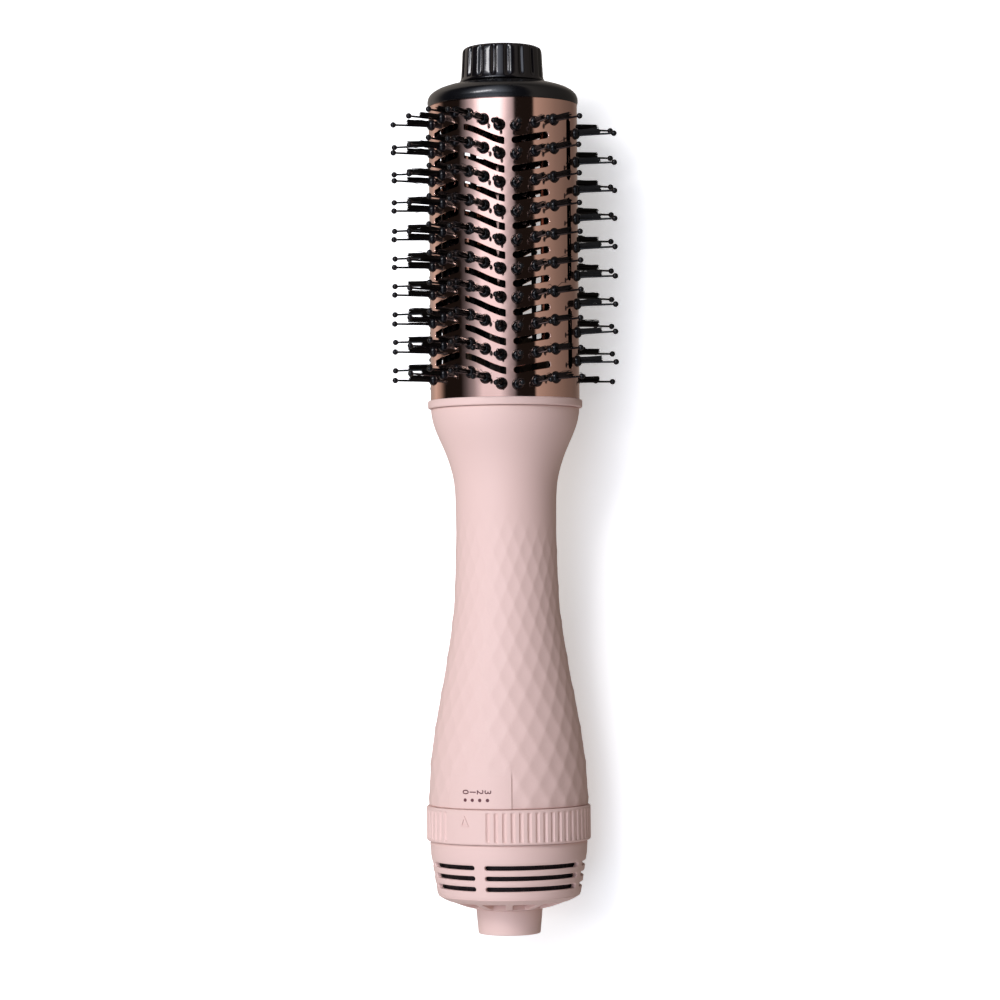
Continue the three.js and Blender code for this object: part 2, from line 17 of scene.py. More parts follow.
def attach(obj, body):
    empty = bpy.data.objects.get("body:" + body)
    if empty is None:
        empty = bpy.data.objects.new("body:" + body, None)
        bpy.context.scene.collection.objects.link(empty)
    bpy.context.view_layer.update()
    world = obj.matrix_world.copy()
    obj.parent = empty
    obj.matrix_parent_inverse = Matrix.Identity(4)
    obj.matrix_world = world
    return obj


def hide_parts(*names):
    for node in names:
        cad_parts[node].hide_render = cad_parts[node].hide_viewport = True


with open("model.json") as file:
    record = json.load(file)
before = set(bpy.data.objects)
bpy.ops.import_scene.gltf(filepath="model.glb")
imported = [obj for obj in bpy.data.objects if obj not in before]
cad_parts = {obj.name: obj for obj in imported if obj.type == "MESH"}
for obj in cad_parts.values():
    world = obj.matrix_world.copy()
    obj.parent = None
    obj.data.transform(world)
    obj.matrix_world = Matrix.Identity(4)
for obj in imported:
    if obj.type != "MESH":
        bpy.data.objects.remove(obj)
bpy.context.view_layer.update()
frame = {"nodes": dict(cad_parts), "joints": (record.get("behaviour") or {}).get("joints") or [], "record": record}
joints = {joint["name"]: joint for joint in frame["joints"]}
rng = np.random.default_rng(7)

MM = 0.001
AXIS = Vector(joints["gland_swivel"]["axis"]).normalized()
START = Vector(joints["gland_swivel"]["pos_m"])
LEFT = Vector((0, 1, 0))
FRONT = AXIS.cross(LEFT)

# ---- sizes, as in the CAD
HANDLE_LINE = [
    (51.75, 32.35), (52.0, 32.5), (57.3, 32.3), (69, 31.5), (80, 30), (91, 28.1), (104.4, 25.5),
    (119.7, 23), (131, 21.5), (142.4, 20.95), (157, 20.5), (165, 20.3), (176, 20.4), (182.5, 20.9),
    (188.7, 22.4), (195, 24.7), (200.3, 27.2), (206, 29.4), (211.4, 30.2),
]
WALL = 2.0
SEAM_ANGLE = 114.2
DIAL = dict(start=37.66, end=51.6, radius=33.1, bore=30.4, ribs=57, pitch=5.8, depth=0.75, zone=-9.5)
DIAL_STEP = 5.7
BARREL = dict(start=215.1, end=334.4, a=30.5, b=26.5, wall=0.8, turn=5.6)
ROWS = dict(count=10, first=220.3, pitch=11.46)
PANELS = {
    "left": dict(columns=(-57.3, -39.8, -24.8), rises=(3, 4.6, 6.1), slot=(-49.5, -24.0)),
    "middle": dict(columns=(-12.2, 0, 12.2), rises=(4.9, 2.45, 0), slot=(-16.2, 15.8)),
    "right": dict(columns=(24.8, 39.8, 57.3), rises=(-0.3, 1.1, 2.6), slot=(24.0, 49.5)),
}
SEAM_AT = -198.6
EDGE_PINS = 9
EDGE_COLUMNS = {"right_edge": dict(t=90, rise=9.9), "left_edge": dict(t=270, rise=8.7)}
EDGE_SLOTS = dict(angle=75.6, half_width=1.4, spans=((227, 250.5), (262.6, 295), (303, 327)))
CUP_RADIUS = 2.3
PIN_LENGTH = 16.2
BALL_RADIUS = 1.18
TUFT_LENGTH = 10.6
TUFT_HAIRS = 64
HAIR_RADIUS = 0.14
RAIL_DEPTH = -3.0
SLOT_CORNER = 0.4
TIP_FLUTES = 18


# ---- frame and mesh helpers
def place(points):
    """Tool-frame points in millimetres to the row frame in metres."""
    p = np.asarray(points, float).reshape(-1, 3) * MM
    basis = np.array([AXIS, LEFT, FRONT])
    return p @ basis + np.array(START)


def around(u, r, phi):
    """Points at radius r and angle phi, in degrees, as an array of (u, y, z)."""
    angle = np.radians(phi)
    return np.stack(np.broadcast_arrays(u, -r * np.sin(angle), r * np.cos(angle)), -1)


def piece(name, parts, finish, hides=(), body="housing", slot=None, sharp=35, merge=0.002):
    """A closed mesh (points, faces) of the tool frame becomes a piece that rides on a body.

    The slot argument is not used.
    """
    points, faces = parts
    slot = slot or finish
    mesh = bpy.data.meshes.new(name)
    mesh.from_pydata(place(points).tolist(), [], [tuple(int(i) for i in face) for face in faces])
    bm = bmesh.new()
    bm.from_mesh(mesh)
    if merge:
        bmesh.ops.remove_doubles(bm, verts=bm.verts, dist=merge * MM)
    bmesh.ops.recalc_face_normals(bm, faces=bm.faces)
    bm.to_mesh(mesh)
    bm.free()
    mesh.shade_smooth()
    mesh.set_sharp_from_angle(angle=math.radians(sharp))
    obj = bpy.data.objects.new(name, mesh)
    bpy.context.scene.collection.objects.link(obj)
    obj.data.materials.append(MATERIALS[finish])
    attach(obj, body)
    if hides:
        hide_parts(*hides)
    return obj


def pairs(loop):
    """Neighbours along a closed list, the last with the first."""
    loop = list(loop)
    return list(zip(loop, loop[1:] + loop[:1]))


def ring_faces(rings, size, around_tool=False, closed=True):
    """Quads between neighbouring rings of points, each ring a closed or an open line.

    around_tool also joins the last ring to the first.
    """
    faces = []
    for i in range(rings if around_tool else rings - 1):
        j = (i + 1) % rings
        for k in range(size if closed else size - 1):
            m = (k + 1) % size
            faces.append((i * size + k, i * size + m, j * size + m, j * size + k))
    return faces


def join_parts(parts):
    """Several (points, faces) become one."""
    points, faces, first = [], [], 0
    for part_points, part_faces in parts:
        part_points = np.asarray(part_points, float).reshape(-1, 3)
        points.append(part_points)
        faces.extend([tuple(i + first for i in face) for face in part_faces])
        first += len(part_points)
    return np.concatenate(points), faces


def rounded(corners, radius, steps=5):
    """A closed outline whose corners are rounded; a corner may carry its own radius."""
    line = []
    places = [np.array(corner[:2], float) for corner in corners]
    for i, here in enumerate(places):
        size = corners[i][2] if len(corners[i]) > 2 else radius
        if size <= 0:
            line.append(tuple(here))
            continue
        ends = []
        for other in (places[i - 1], places[(i + 1) % len(places)]):
            away = other - here
            ends.append(here + away / np.linalg.norm(away) * min(size, np.linalg.norm(away) * 0.45))
        for s in np.linspace(0, 1, steps):
            line.append(tuple((1 - s) ** 2 * ends[0] + 2 * s * (1 - s) * here + s ** 2 * ends[1]))
    return line


def capped(rings, size):
    """Faces of closed rings with a lid on each end."""
    last = (rings - 1) * size
    lids = [tuple(range(size))[::-1], tuple(range(last, last + size))]
    return ring_faces(rings, size) + lids


def lathe(line, segments=96, shape=None):
    """Revolves a closed outline of (u, r) points; shape may change the points."""
    line = np.array(line, float)
    count = len(line)
    phi = np.arange(segments) * 360 / segments
    grid = around(line[None, :, 0], line[None, :, 1], phi[:, None])
    if shape:
        grid = shape(grid)
    on_axis = line[:, 1] == 0
    faces = []
    for corners in ring_faces(segments, count, True):
        here, after = on_axis[corners[0] % count], on_axis[corners[1] % count]
        if here and after:
            continue
        if here:
            corners = corners[:3]
        elif after:
            corners = (corners[0], corners[1], corners[3])
        faces.append(corners)
    return grid.reshape(-1, 3), faces


def prism_parts(outline, centre, x_axis, y_axis, depth_axis, depth):
    """A flat outline of (x, y) points, extruded along an axis from its centre."""
    flat = np.array(outline, float)
    x_axis, y_axis, depth_axis = (np.array(v, float) for v in (x_axis, y_axis, depth_axis))
    base = np.array(centre, float) + flat[:, :1] * x_axis + flat[:, 1:] * y_axis
    top = base + depth_axis * depth
    return np.concatenate([base, top]), capped(2, len(flat))


def box_parts(centre, size):
    """An upright box of (x, y, z) size round its centre."""
    x, y = size[0] / 2, size[1] / 2
    low = np.array(centre, float) - np.array((0, 0, size[2] / 2))
    return prism_parts([(-x, -y), (x, -y), (x, y), (-x, y)], low, (1, 0, 0), (0, 1, 0), (0, 0, 1), size[2])


# ---- perforated shells
def stadium(start, end, radius, steps=8):
    """A slot with round ends, or a circle, as a closed outline in the flat pattern."""
    start, end = np.array(start, float), np.array(end, float)
    along = end - start
    is_slot = np.linalg.norm(along) > 1e-6
    heading = math.atan2(along[1], along[0]) if is_slot else 0
    outline = []
    for centre, turn in ((end, -math.pi / 2), (start, math.pi / 2)):
        for k in range(steps + is_slot):
            angle = heading + turn + math.pi * k / steps
            outline.append(centre + radius * np.array((math.cos(angle), math.sin(angle))))
    return divided(outline)


def cut_slot(start, end, half_start, half_end, bend=0.55):
    """A slot with upright ends whose middle line is a slight S."""
    start, end = np.array(start, float), np.array(end, float)
    low, high = [], []
    for x in np.linspace(0, 1, 9):
        share = (1 - bend) * x + bend * x * x * (3 - 2 * x)
        middle = np.array((start[0] + (end[0] - start[0]) * x, start[1] + (end[1] - start[1]) * share))
        half = np.array((0, half_start + (half_end - half_start) * x))
        low.append((*(middle - half), 0))
        high.append((*(middle + half), 0))
    ends = [(*point[:2], SLOT_CORNER) for point in (low[0], low[-1], high[-1], high[0])]
    corners = [ends[0], *low[1:-1], ends[1], ends[2], *high[-2:0:-1], ends[3]]
    return divided(rounded(corners, 0, 4))


def divided(outline, step=1.6):
    """A closed outline with no edge longer than a step, so that it can bend round a surface."""
    line = []
    for here, after in zip(outline, np.roll(np.array(outline), -1, 0)):
        count = max(int(math.ceil(np.linalg.norm(after - here) / step)), 1)
        line.extend(here + (after - here) * k / count for k in range(count))
    return np.array(line)


def clear_of(points, outline, margin):
    """True for the points outside a closed outline and further from it than a margin."""
    near = np.all((points > outline.min(0) - margin) & (points < outline.max(0) + margin), axis=1)
    spots = points[near]
    after = np.roll(outline, -1, 0)
    edge = after - outline
    offset = spots[:, None] - outline
    share = np.clip((offset * edge).sum(-1) / (edge * edge).sum(-1), 0, 1)
    far = np.linalg.norm(offset - share[..., None] * edge, axis=-1).min(1) > margin
    crosses = (outline[:, 1] > spots[:, 1:]) != (after[:, 1] > spots[:, 1:])
    rise = np.where(edge[:, 1] == 0, 1e-12, edge[:, 1])
    crosses &= spots[:, :1] < outline[:, 0] + edge[:, 0] * (spots[:, 1:] - outline[:, 1]) / rise
    clear = np.ones(len(points), bool)
    clear[near] = far & (crosses.sum(1) % 2 == 0)
    return clear


def unit(vectors):
    return vectors / np.linalg.norm(vectors, axis=-1)[..., None]


def grown(outline, amount):
    """A closed outline moved out by an amount."""
    before = outline - np.roll(outline, 1, 0)
    after = np.roll(outline, -1, 0) - outline
    tangent = unit(unit(before) + unit(after))
    return outline + amount * np.stack([tangent[:, 1], -tangent[:, 0]], -1)


def perforated(width, low, high, holes, surface, thickness, chamfer, step):
    """A shell with holes, from a flat pattern that closes on itself after its width.

    surface(s, v, depth) gives tool-frame points for pattern points at a depth.
    """
    s_line = np.linspace(0, width, int(round(width / step[0])) + 1)
    v_line = np.linspace(low, high, max(int(round((high - low) / step[1])), 1) + 1)
    points = [(s, low) for s in s_line] + [(width, v) for v in v_line[1:]]
    points += [(s, high) for s in s_line[::-1][1:]] + [(0, v) for v in v_line[::-1][1:-1]]
    border = pairs(range(len(points)))
    on_seam = [points[a][0] in (0, width) and points[a][0] == points[b][0] for a, b in border]
    edges = list(border)
    grid = []
    for row, v in enumerate(v_line[1:-1]):
        shift = 0.5 * (s_line[1] - s_line[0]) * (row % 2)
        grid.extend((s + shift, v) for s in s_line[:-1] if s + shift > 0)
    grid = np.array(grid).reshape(-1, 2)
    keep = np.ones(len(grid), bool)
    for hole in holes:
        keep &= clear_of(grid, hole, chamfer + 0.45 * step[0])
    points += [tuple(p) for p in grid[keep]]
    loops = []
    for hole in holes:
        loops.append(list(range(len(points), len(points) + len(hole))))
        points += [tuple(p) for p in grown(hole, chamfer)]
        edges += pairs(loops[-1])
    flat, _, faces, origins, _, face_origins = delaunay_2d_cdt(
        [Vector(p) for p in points], edges, loops, 0, 1e-6, True)
    new_index = {old: new for new, olds in enumerate(origins) for old in olds}
    flat = np.array([tuple(p) for p in flat])
    count = len(flat)
    parts = [surface(flat[:, 0], flat[:, 1], 0.0), surface(flat[:, 0], flat[:, 1], thickness)]
    shell = [tuple(face) for face, origin in zip(faces, face_origins) if not origin]
    shell += [tuple(i + count for i in face[::-1]) for face in shell]
    total = 2 * count
    for outline, loop in zip(holes, loops):
        size = len(outline)
        for depth in (chamfer, thickness - chamfer):
            parts.append(surface(outline[:, 0], outline[:, 1], depth))
        top = [new_index[i] for i in loop]
        rings = [top, range(total, total + size), range(total + size, total + 2 * size),
                 [i + count for i in top]]
        total += 2 * size
        for upper, lower in zip(rings, rings[1:]):
            shell += [(a, b, d, c) for (a, b), (c, d) in zip(pairs(upper), pairs(lower))]
    for (a, b), seam in zip(border, on_seam):
        if not seam:
            a, b = new_index[a], new_index[b]
            shell.append((a, b, b + count, a + count))
    return np.concatenate(parts), shell


# ---- materials
def shader(name, color, roughness=0.5, metallic=0.0, **sockets):
    material = bpy.data.materials.new(name)
    material.use_nodes = True
    bsdf = material.node_tree.nodes["Principled BSDF"]
    bsdf.inputs["Base Color"].default_value = (*color, 1)
    bsdf.inputs["Roughness"].default_value = roughness
    bsdf.inputs["Metallic"].default_value = metallic
    for socket, value in sockets.items():
        bsdf.inputs[socket.replace("_", " ")].default_value = value
    return material, bsdf


def node(tree, kind, **settings):
    made = tree.nodes.new(kind)
    for key, value in settings.items():
        if key in made.inputs:
            made.inputs[key].default_value = value
        else:
            setattr(made, key, value)
    return made


def add_noise(tree, scale, detail, stretch):
    """Noise over the object's own coordinates; gives its output socket."""
    coords = node(tree, "ShaderNodeTexCoord")
    mapping = node(tree, "ShaderNodeMapping", Scale=stretch)
    noise = node(tree, "ShaderNodeTexNoise", Scale=scale, Detail=detail)
    tree.links.new(coords.outputs["Object"], mapping.inputs["Vector"])
    tree.links.new(mapping.outputs["Vector"], noise.inputs["Vector"])
    return noise.outputs["Fac"]


def add_color_noise(tree, bsdf, color, other, scale, amount=1.0, detail=3.0, stretch=(1, 1, 1)):
    """Colour wanders between two close tones."""
    ramp = node(tree, "ShaderNodeValToRGB")
    low, high = ramp.color_ramp.elements
    low.position, high.position = 0.5 - 0.25 * amount, 0.5 + 0.25 * amount
    low.color, high.color = (*color, 1), (*other, 1)
    tree.links.new(add_noise(tree, scale, detail, stretch), ramp.inputs["Fac"])
    tree.links.new(ramp.outputs["Color"], bsdf.inputs["Base Color"])


def add_rough_noise(tree, bsdf, low, high, scale, stretch=(1, 1, 1)):
    spread = node(tree, "ShaderNodeMapRange")
    for socket, value in (("From Min", 0.3), ("From Max", 0.7), ("To Min", low), ("To Max", high)):
        spread.inputs[socket].default_value = value
    tree.links.new(add_noise(tree, scale, 4.0, stretch), spread.inputs["Value"])
    tree.links.new(spread.outputs["Result"], bsdf.inputs["Roughness"])


def add_bump(tree, bsdf, scale, strength, distance, stretch=(1, 1, 1), detail=2.0):
    bump = node(tree, "ShaderNodeBump", Strength=strength, Distance=distance)
    tree.links.new(add_noise(tree, scale, detail, stretch), bump.inputs["Height"])
    tree.links.new(bump.outputs["Normal"], bsdf.inputs["Normal"])


# Each finish: its name, base colour, roughness, metallic, other sockets, and what goes to
# add_color_noise, add_rough_noise and add_bump, or None.
FINISHES = {
    "soft_pink": (
        "soft_touch_pink", (0.75, 0.532, 0.482), 0.5, 0.0,
        dict(Sheen_Weight=0.04, Sheen_Roughness=0.5, Specular_IOR_Level=0.28),
        ((0.745, 0.527, 0.477), (0.76, 0.542, 0.492), 24, 1.2), (0.46, 0.56, 60), (4200, 0.1, 0.00006)),
    "rose_metal": (
        "rose_gold_sheet", (0.8, 0.5, 0.42), 0.07, 1.0, {},
        ((0.79, 0.49, 0.405), (0.82, 0.53, 0.45), 30, 1.0, 2.0, (0.25, 1, 1)),
        (0.045, 0.09, 120, (0.15, 1, 1)), (900, 0.04, 0.00004, (0.05, 1, 1))),
    "gloss_black": (
        "glossy_black_nylon", (0.004, 0.004, 0.005), 0.14, 0.0, dict(Specular_IOR_Level=0.25),
        ((0.003, 0.003, 0.004), (0.006, 0.005, 0.006), 200), (0.1, 0.2, 500), None),
    "satin_black": (
        "satin_black_nylon", (0.002, 0.002, 0.003), 0.2, 0.0, dict(Specular_IOR_Level=0.55),
        ((0.002, 0.002, 0.003), (0.004, 0.004, 0.005), 60), (0.17, 0.24, 180), (3000, 0.08, 0.00005)),
    "bristle": (
        "bristle_nylon", (0.004, 0.004, 0.004), 0.35, 0.0, dict(Specular_IOR_Level=0.12),
        ((0.002, 0.002, 0.002), (0.009, 0.007, 0.006), 900, 1.6), None, None),
    # The rails' near-black, dull, almost unreflecting finish is painted shade. It stands for the shade inside the
    # barrel's slots and is darker than the glossy black nylon of their slot.
    "rail_painted_shade": (
        "rail_painted_shade_nylon", (0.002, 0.002, 0.002), 0.8, 0.0, dict(Specular_IOR_Level=0.05),
        None, None, (2500, 0.1, 0.00006)),
    "tip_black": (
        "polished_black_tip", (0.005, 0.004, 0.005), 0.12, 0.0, dict(Specular_IOR_Level=0.5),
        ((0.004, 0.003, 0.004), (0.007, 0.006, 0.007), 200), (0.09, 0.15, 400), None),
    "dark_nylon": (
        "dark_glass_filled_nylon", (0.03, 0.03, 0.034), 0.5, 0.0, {},
        ((0.025, 0.025, 0.028), (0.045, 0.045, 0.05), 400, 1.4), None, (2500, 0.15, 0.00008)),
    "steel": (
        "zinc_plated_steel", (0.6, 0.6, 0.62), 0.3, 1.0, {},
        None, (0.22, 0.4, 300, (0.1, 1, 1)), (2000, 0.06, 0.00004, (0.05, 1, 1))),
    "copper": ("copper_and_bronze", (0.72, 0.42, 0.24), 0.35, 1.0, {}, None, (0.28, 0.45, 300), None),
    "mica": (
        "pressed_mica", (0.06, 0.04, 0.025), 0.5, 0.0, dict(Specular_IOR_Level=0.2),
        ((0.04, 0.026, 0.016), (0.09, 0.062, 0.04), 260, 2.0, 6.0), None, (700, 0.2, 0.0001)),
    "board_green": (
        "circuit_board_green", (0.03, 0.16, 0.06), 0.35, 0.0, {},
        ((0.025, 0.13, 0.05), (0.05, 0.2, 0.08), 300), None, None),
    "rubber_black": ("black_rubber", (0.02, 0.02, 0.02), 0.8, 0.0, {}, None, None, (1500, 0.2, 0.0001)),
    "lead_red": ("lead_red_sleeve", (0.35, 0.03, 0.025), 0.5, 0.0, {}, None, None, (900, 0.1, 0.0001)),
    "lead_blue": ("lead_blue_sleeve", (0.03, 0.08, 0.3), 0.5, 0.0, {}, None, None, (900, 0.1, 0.0001)),
    "ink": ("print_ink", (0.11, 0.03, 0.035), 0.45, 0.0, {}, None, None, None),
}


def make_materials():
    made = {"filter_mesh": woven_screen()}
    for key, (name, color, roughness, metallic, sockets, *noises) in FINISHES.items():
        made[key], bsdf = shader(name, color, roughness, metallic, **sockets)
        for add, settings in zip((add_color_noise, add_rough_noise, add_bump), noises):
            if settings:
                add(made[key].node_tree, bsdf, *settings)
    return made


def woven_screen():
    """A dust screen: two sets of wires drawn as bump and colour over near-black gaps, which are painted shade of
    the dark inside behind the screen.
    """
    material, bsdf = shader("woven_dust_screen", (0.01, 0.008, 0.009), 0.5, 0.0, Specular_IOR_Level=0.3)
    tree = material.node_tree
    coords = node(tree, "ShaderNodeTexCoord")
    wires = []
    for direction in ("X", "Y"):
        wave = node(tree, "ShaderNodeTexWave", Scale=420.0, wave_type="BANDS", bands_direction=direction)
        tree.links.new(coords.outputs["Object"], wave.inputs["Vector"])
        wires.append(wave)
    cross = node(tree, "ShaderNodeMath", operation="MAXIMUM")
    tree.links.new(wires[0].outputs["Fac"], cross.inputs[0])
    tree.links.new(wires[1].outputs["Fac"], cross.inputs[1])
    ramp = node(tree, "ShaderNodeValToRGB")
    # The near-black at the ramp's first stop is painted shade: the gaps stand for the dark inside seen through the
    # screen.
    ramp.color_ramp.elements[0].position = 0.55
    ramp.color_ramp.elements[0].color = (0.002, 0.001, 0.002, 1)
    ramp.color_ramp.elements[1].color = (0.022, 0.014, 0.017, 1)
    tree.links.new(cross.outputs["Value"], ramp.inputs["Fac"])
    tree.links.new(ramp.outputs["Color"], bsdf.inputs["Base Color"])
    bump = node(tree, "ShaderNodeBump", Strength=0.5, Distance=0.0002)
    tree.links.new(cross.outputs["Value"], bump.inputs["Height"])
    tree.links.new(bump.outputs["Normal"], bsdf.inputs["Normal"])
    return material


MATERIALS = make_materials()


def dress_cad_nodes():
    """Every CAD node that stays gets the finish of its slot."""
    for part in frame["record"]["subparts"]:
        obj = frame["nodes"][part["node"]]
        obj.data.materials.clear()
        obj.data.materials.append(MATERIALS[part["material_slot"]])


# ---- camera, light and floor
CAMERA_ANGLE = 22.5
CAMERA_FOOT = 141.0
CAMERA_DISTANCE = 1290.0
CAMERA_AIM = 174.7
CAMERA_SIDE = 2.4
CAMERA_ROLL = 0.5
LENS = 114.7
FLOOR_HALF = 2.2
FLOOR_GLOW = 0.4


def tool_direction(u, y, z):
    return (AXIS * u + LEFT * y + FRONT * z).normalized()


def add_camera():
    towards, right = camera_side()
    foot = START + AXIS * CAMERA_FOOT * MM
    eye = foot + towards * CAMERA_DISTANCE * MM
    aim = START + AXIS * CAMERA_AIM * MM - right * CAMERA_SIDE * MM
    look = (aim - eye).normalized()
    turn = math.radians(CAMERA_ROLL)
    up = (AXIS * math.cos(turn) + right * math.sin(turn)).normalized()
    side = look.cross(up).normalized()
    up = side.cross(look)
    data = bpy.data.cameras.new("photo_camera")
    data.lens = LENS
    data.sensor_width = 36
    camera = bpy.data.objects.new("photo_camera", data)
    camera.matrix_world = Matrix.Translation(eye) @ Matrix((side, up, -look)).transposed().to_4x4()
    bpy.context.scene.collection.objects.link(camera)
    bpy.context.scene.camera = camera


# Light of the studio round the tool's axis: angle off the camera's side, in degrees towards
# the right of the tool, and light. The soft box's light also changes along the tool, by the
# share of a direction that points to the tip.
ROOM = [
    (-180, 0.35), (-145, 0.5), (-130, 0.7), (-116, 0.45), (-106, 0.1), (-101, 0.012), (-70, 0.012),
    (12, 0.012), (35, 0.012), (38.5, 0.5), (57, 0.38), (77, 0.27), (103, 0.19), (130, 0.15),
    (150, 0.2), (180, 0.35),
]
SOFT_BOX = [
    (-180, 0), (-70, 0), (-62, 0.1), (-50, 0.36), (-38, 0.95), (-14, 1.0), (-8, 0.72), (-1, 0.4),
    (5, 0.22), (9, 0), (180, 0),
]
ALONG_BOX = [
    (-1, 1.2), (-0.5, 1.8), (-0.2, 1.5), (-0.06, 0.9), (0, 0.8), (0.06, 1.0), (0.1, 1.35),
    (0.14, 1.9), (0.18, 2.6), (0.5, 2.4), (0.8, 1.2), (1, 0.3),
]
ROOM_TINT = (1.0, 0.88, 0.79)
BOX_TINT = (0.97, 1.05, 1.22)


def light_ramp(tree, value, table, low, high):
    """A table of (place, light) as a colour ramp over a value."""
    spread = node(tree, "ShaderNodeMapRange")
    spread.inputs["From Min"].default_value = low
    spread.inputs["From Max"].default_value = high
    tree.links.new(value, spread.inputs["Value"])
    ramp = node(tree, "ShaderNodeValToRGB")
    elements = ramp.color_ramp.elements
    elements[0].position, elements[1].position = 0, 1
    for _ in table[1:-1]:
        elements.new(0.5)
    for k, (place_on, light) in enumerate(table):
        elements[k].position = (place_on - table[0][0]) / (table[-1][0] - table[0][0])
        elements[k].color = (light, light, light, 1)
    tree.links.new(spread.outputs["Result"], ramp.inputs["Fac"])
    return ramp.outputs["Color"]


def vector_math(tree, operation, *values):
    """A vector maths node whose inputs are sockets or plain vectors."""
    made = node(tree, "ShaderNodeVectorMath", operation=operation)
    for k, value in enumerate(values):
        if isinstance(value, bpy.types.NodeSocket):
            tree.links.new(value, made.inputs[k])
        else:
            made.inputs[k].default_value = value
    return made.outputs["Value" if operation == "DOT_PRODUCT" else "Vector"]


def camera_side():
    """Directions from the tool towards the camera, and to the right in its picture."""
    s, c = math.sin(math.radians(CAMERA_ANGLE)), math.cos(math.radians(CAMERA_ANGLE))
    return tool_direction(0, -s, c), tool_direction(0, -c, -s)


def add_world():
    """A studio that the pieces reflect, behind a plain white that only the camera sees."""
    world = bpy.data.worlds.new("studio")
    bpy.context.scene.world = world
    world.use_nodes = True
    tree = world.node_tree
    background = tree.nodes["Background"]
    coords = node(tree, "ShaderNodeTexCoord")
    towards, right = camera_side()
    sideways, ahead, tipward = (
        vector_math(tree, "DOT_PRODUCT", coords.outputs["Generated"], direction)
        for direction in (right, towards, tool_direction(1, 0, 0)))
    angle = node(tree, "ShaderNodeMath", operation="ARCTAN2")
    tree.links.new(sideways, angle.inputs[0])
    tree.links.new(ahead, angle.inputs[1])
    room = light_ramp(tree, angle.outputs["Value"], ROOM, -math.pi, math.pi)
    soft_box = light_ramp(tree, angle.outputs["Value"], SOFT_BOX, -math.pi, math.pi)
    boxed = vector_math(tree, "MULTIPLY", soft_box, light_ramp(tree, tipward, ALONG_BOX, -1, 1))
    warm = vector_math(tree, "MULTIPLY", room, ROOM_TINT)
    cool = vector_math(tree, "MULTIPLY_ADD", boxed, BOX_TINT, warm)
    tree.links.new(cool, background.inputs["Color"])
    background.inputs["Strength"].default_value = 1.0
    plain = node(tree, "ShaderNodeBackground", Color=(1, 1, 1, 1), Strength=1.0)
    path = node(tree, "ShaderNodeLightPath")
    seen = node(tree, "ShaderNodeMixShader")
    tree.links.new(path.outputs["Is Camera Ray"], seen.inputs["Fac"])
    tree.links.new(background.outputs["Background"], seen.inputs[1])
    tree.links.new(plain.outputs["Background"], seen.inputs[2])
    tree.links.new(seen.outputs["Shader"], tree.nodes["World Output"].inputs["Surface"])


def add_area(name, angle, lean, along, distance, size, power, color=(1, 1, 1), mirrored=False):
    """A soft box that faces the tool from an angle off the camera's side, leaning to the tip."""
    a = math.radians(CAMERA_ANGLE + angle)
    towards = tool_direction(lean, -math.sin(a), math.cos(a))
    middle = START + AXIS * along * MM
    data = bpy.data.lights.new(name, "AREA")
    data.shape = "RECTANGLE"
    data.size, data.size_y = size
    data.energy = power
    data.color = color
    light = bpy.data.objects.new(name, data)
    light.location = middle + towards * distance
    light.rotation_euler = towards.to_track_quat("Z", "Y").to_euler()
    light.visible_glossy = mirrored
    bpy.context.scene.collection.objects.link(light)


def add_floor():
    mesh = bpy.data.meshes.new("floor")
    half = FLOOR_HALF
    corners = [(-half, -half, 0), (half, -half, 0), (half, half, 0), (-half, half, 0)]
    mesh.from_pydata(corners, [], [(0, 1, 2, 3)])
    floor = bpy.data.objects.new("floor", mesh)
    material, _ = shader(
        "pale_floor", (0.94, 0.92, 0.89), 0.85, Specular_IOR_Level=0.1,
        Emission_Color=(1, 1, 1, 1), Emission_Strength=FLOOR_GLOW)
    floor.visible_glossy = False
    floor.visible_diffuse = False
    floor.data.materials.append(material)
    bpy.context.scene.collection.objects.link(floor)


# ---- handle
DIAMOND_HALF_ANGLE = 7.5
DIAMOND_HALF_LENGTH = 7.1
FACET_DEPTH = 1.7
PATCH_HALF_ANGLE = 24.5
PATCH_TOP = 66.0
PATCH_EDGE = 0.9
PATCH_STEP = 0.16
TEXTURE_START = 54.5
TEXTURE_TOP = 172.0
GRIP_START = 51.75
GRIP_END = 211.62
EDGE_DROP = 0.35
SEAM_DROP = 0.22
SEAM_HALF_GAP = 0.16
SCREW_PLACES = (("lower", 124), ("upper", 192))
HEAD_BORE = 2.9
COVER_SHARP = 28


def handle_radius(u):
    """The handle's line, softened over 3 mm each way."""
    line = np.array(HANDLE_LINE)
    below, here, above = (np.interp(u + step, line[:, 0], line[:, 1]) for step in (-3, 0, 3))
    return (below + 2 * here + above) / 4


def smooth_step(x):
    x = np.clip(x, 0, 1)
    return x * x * (3 - 2 * x)


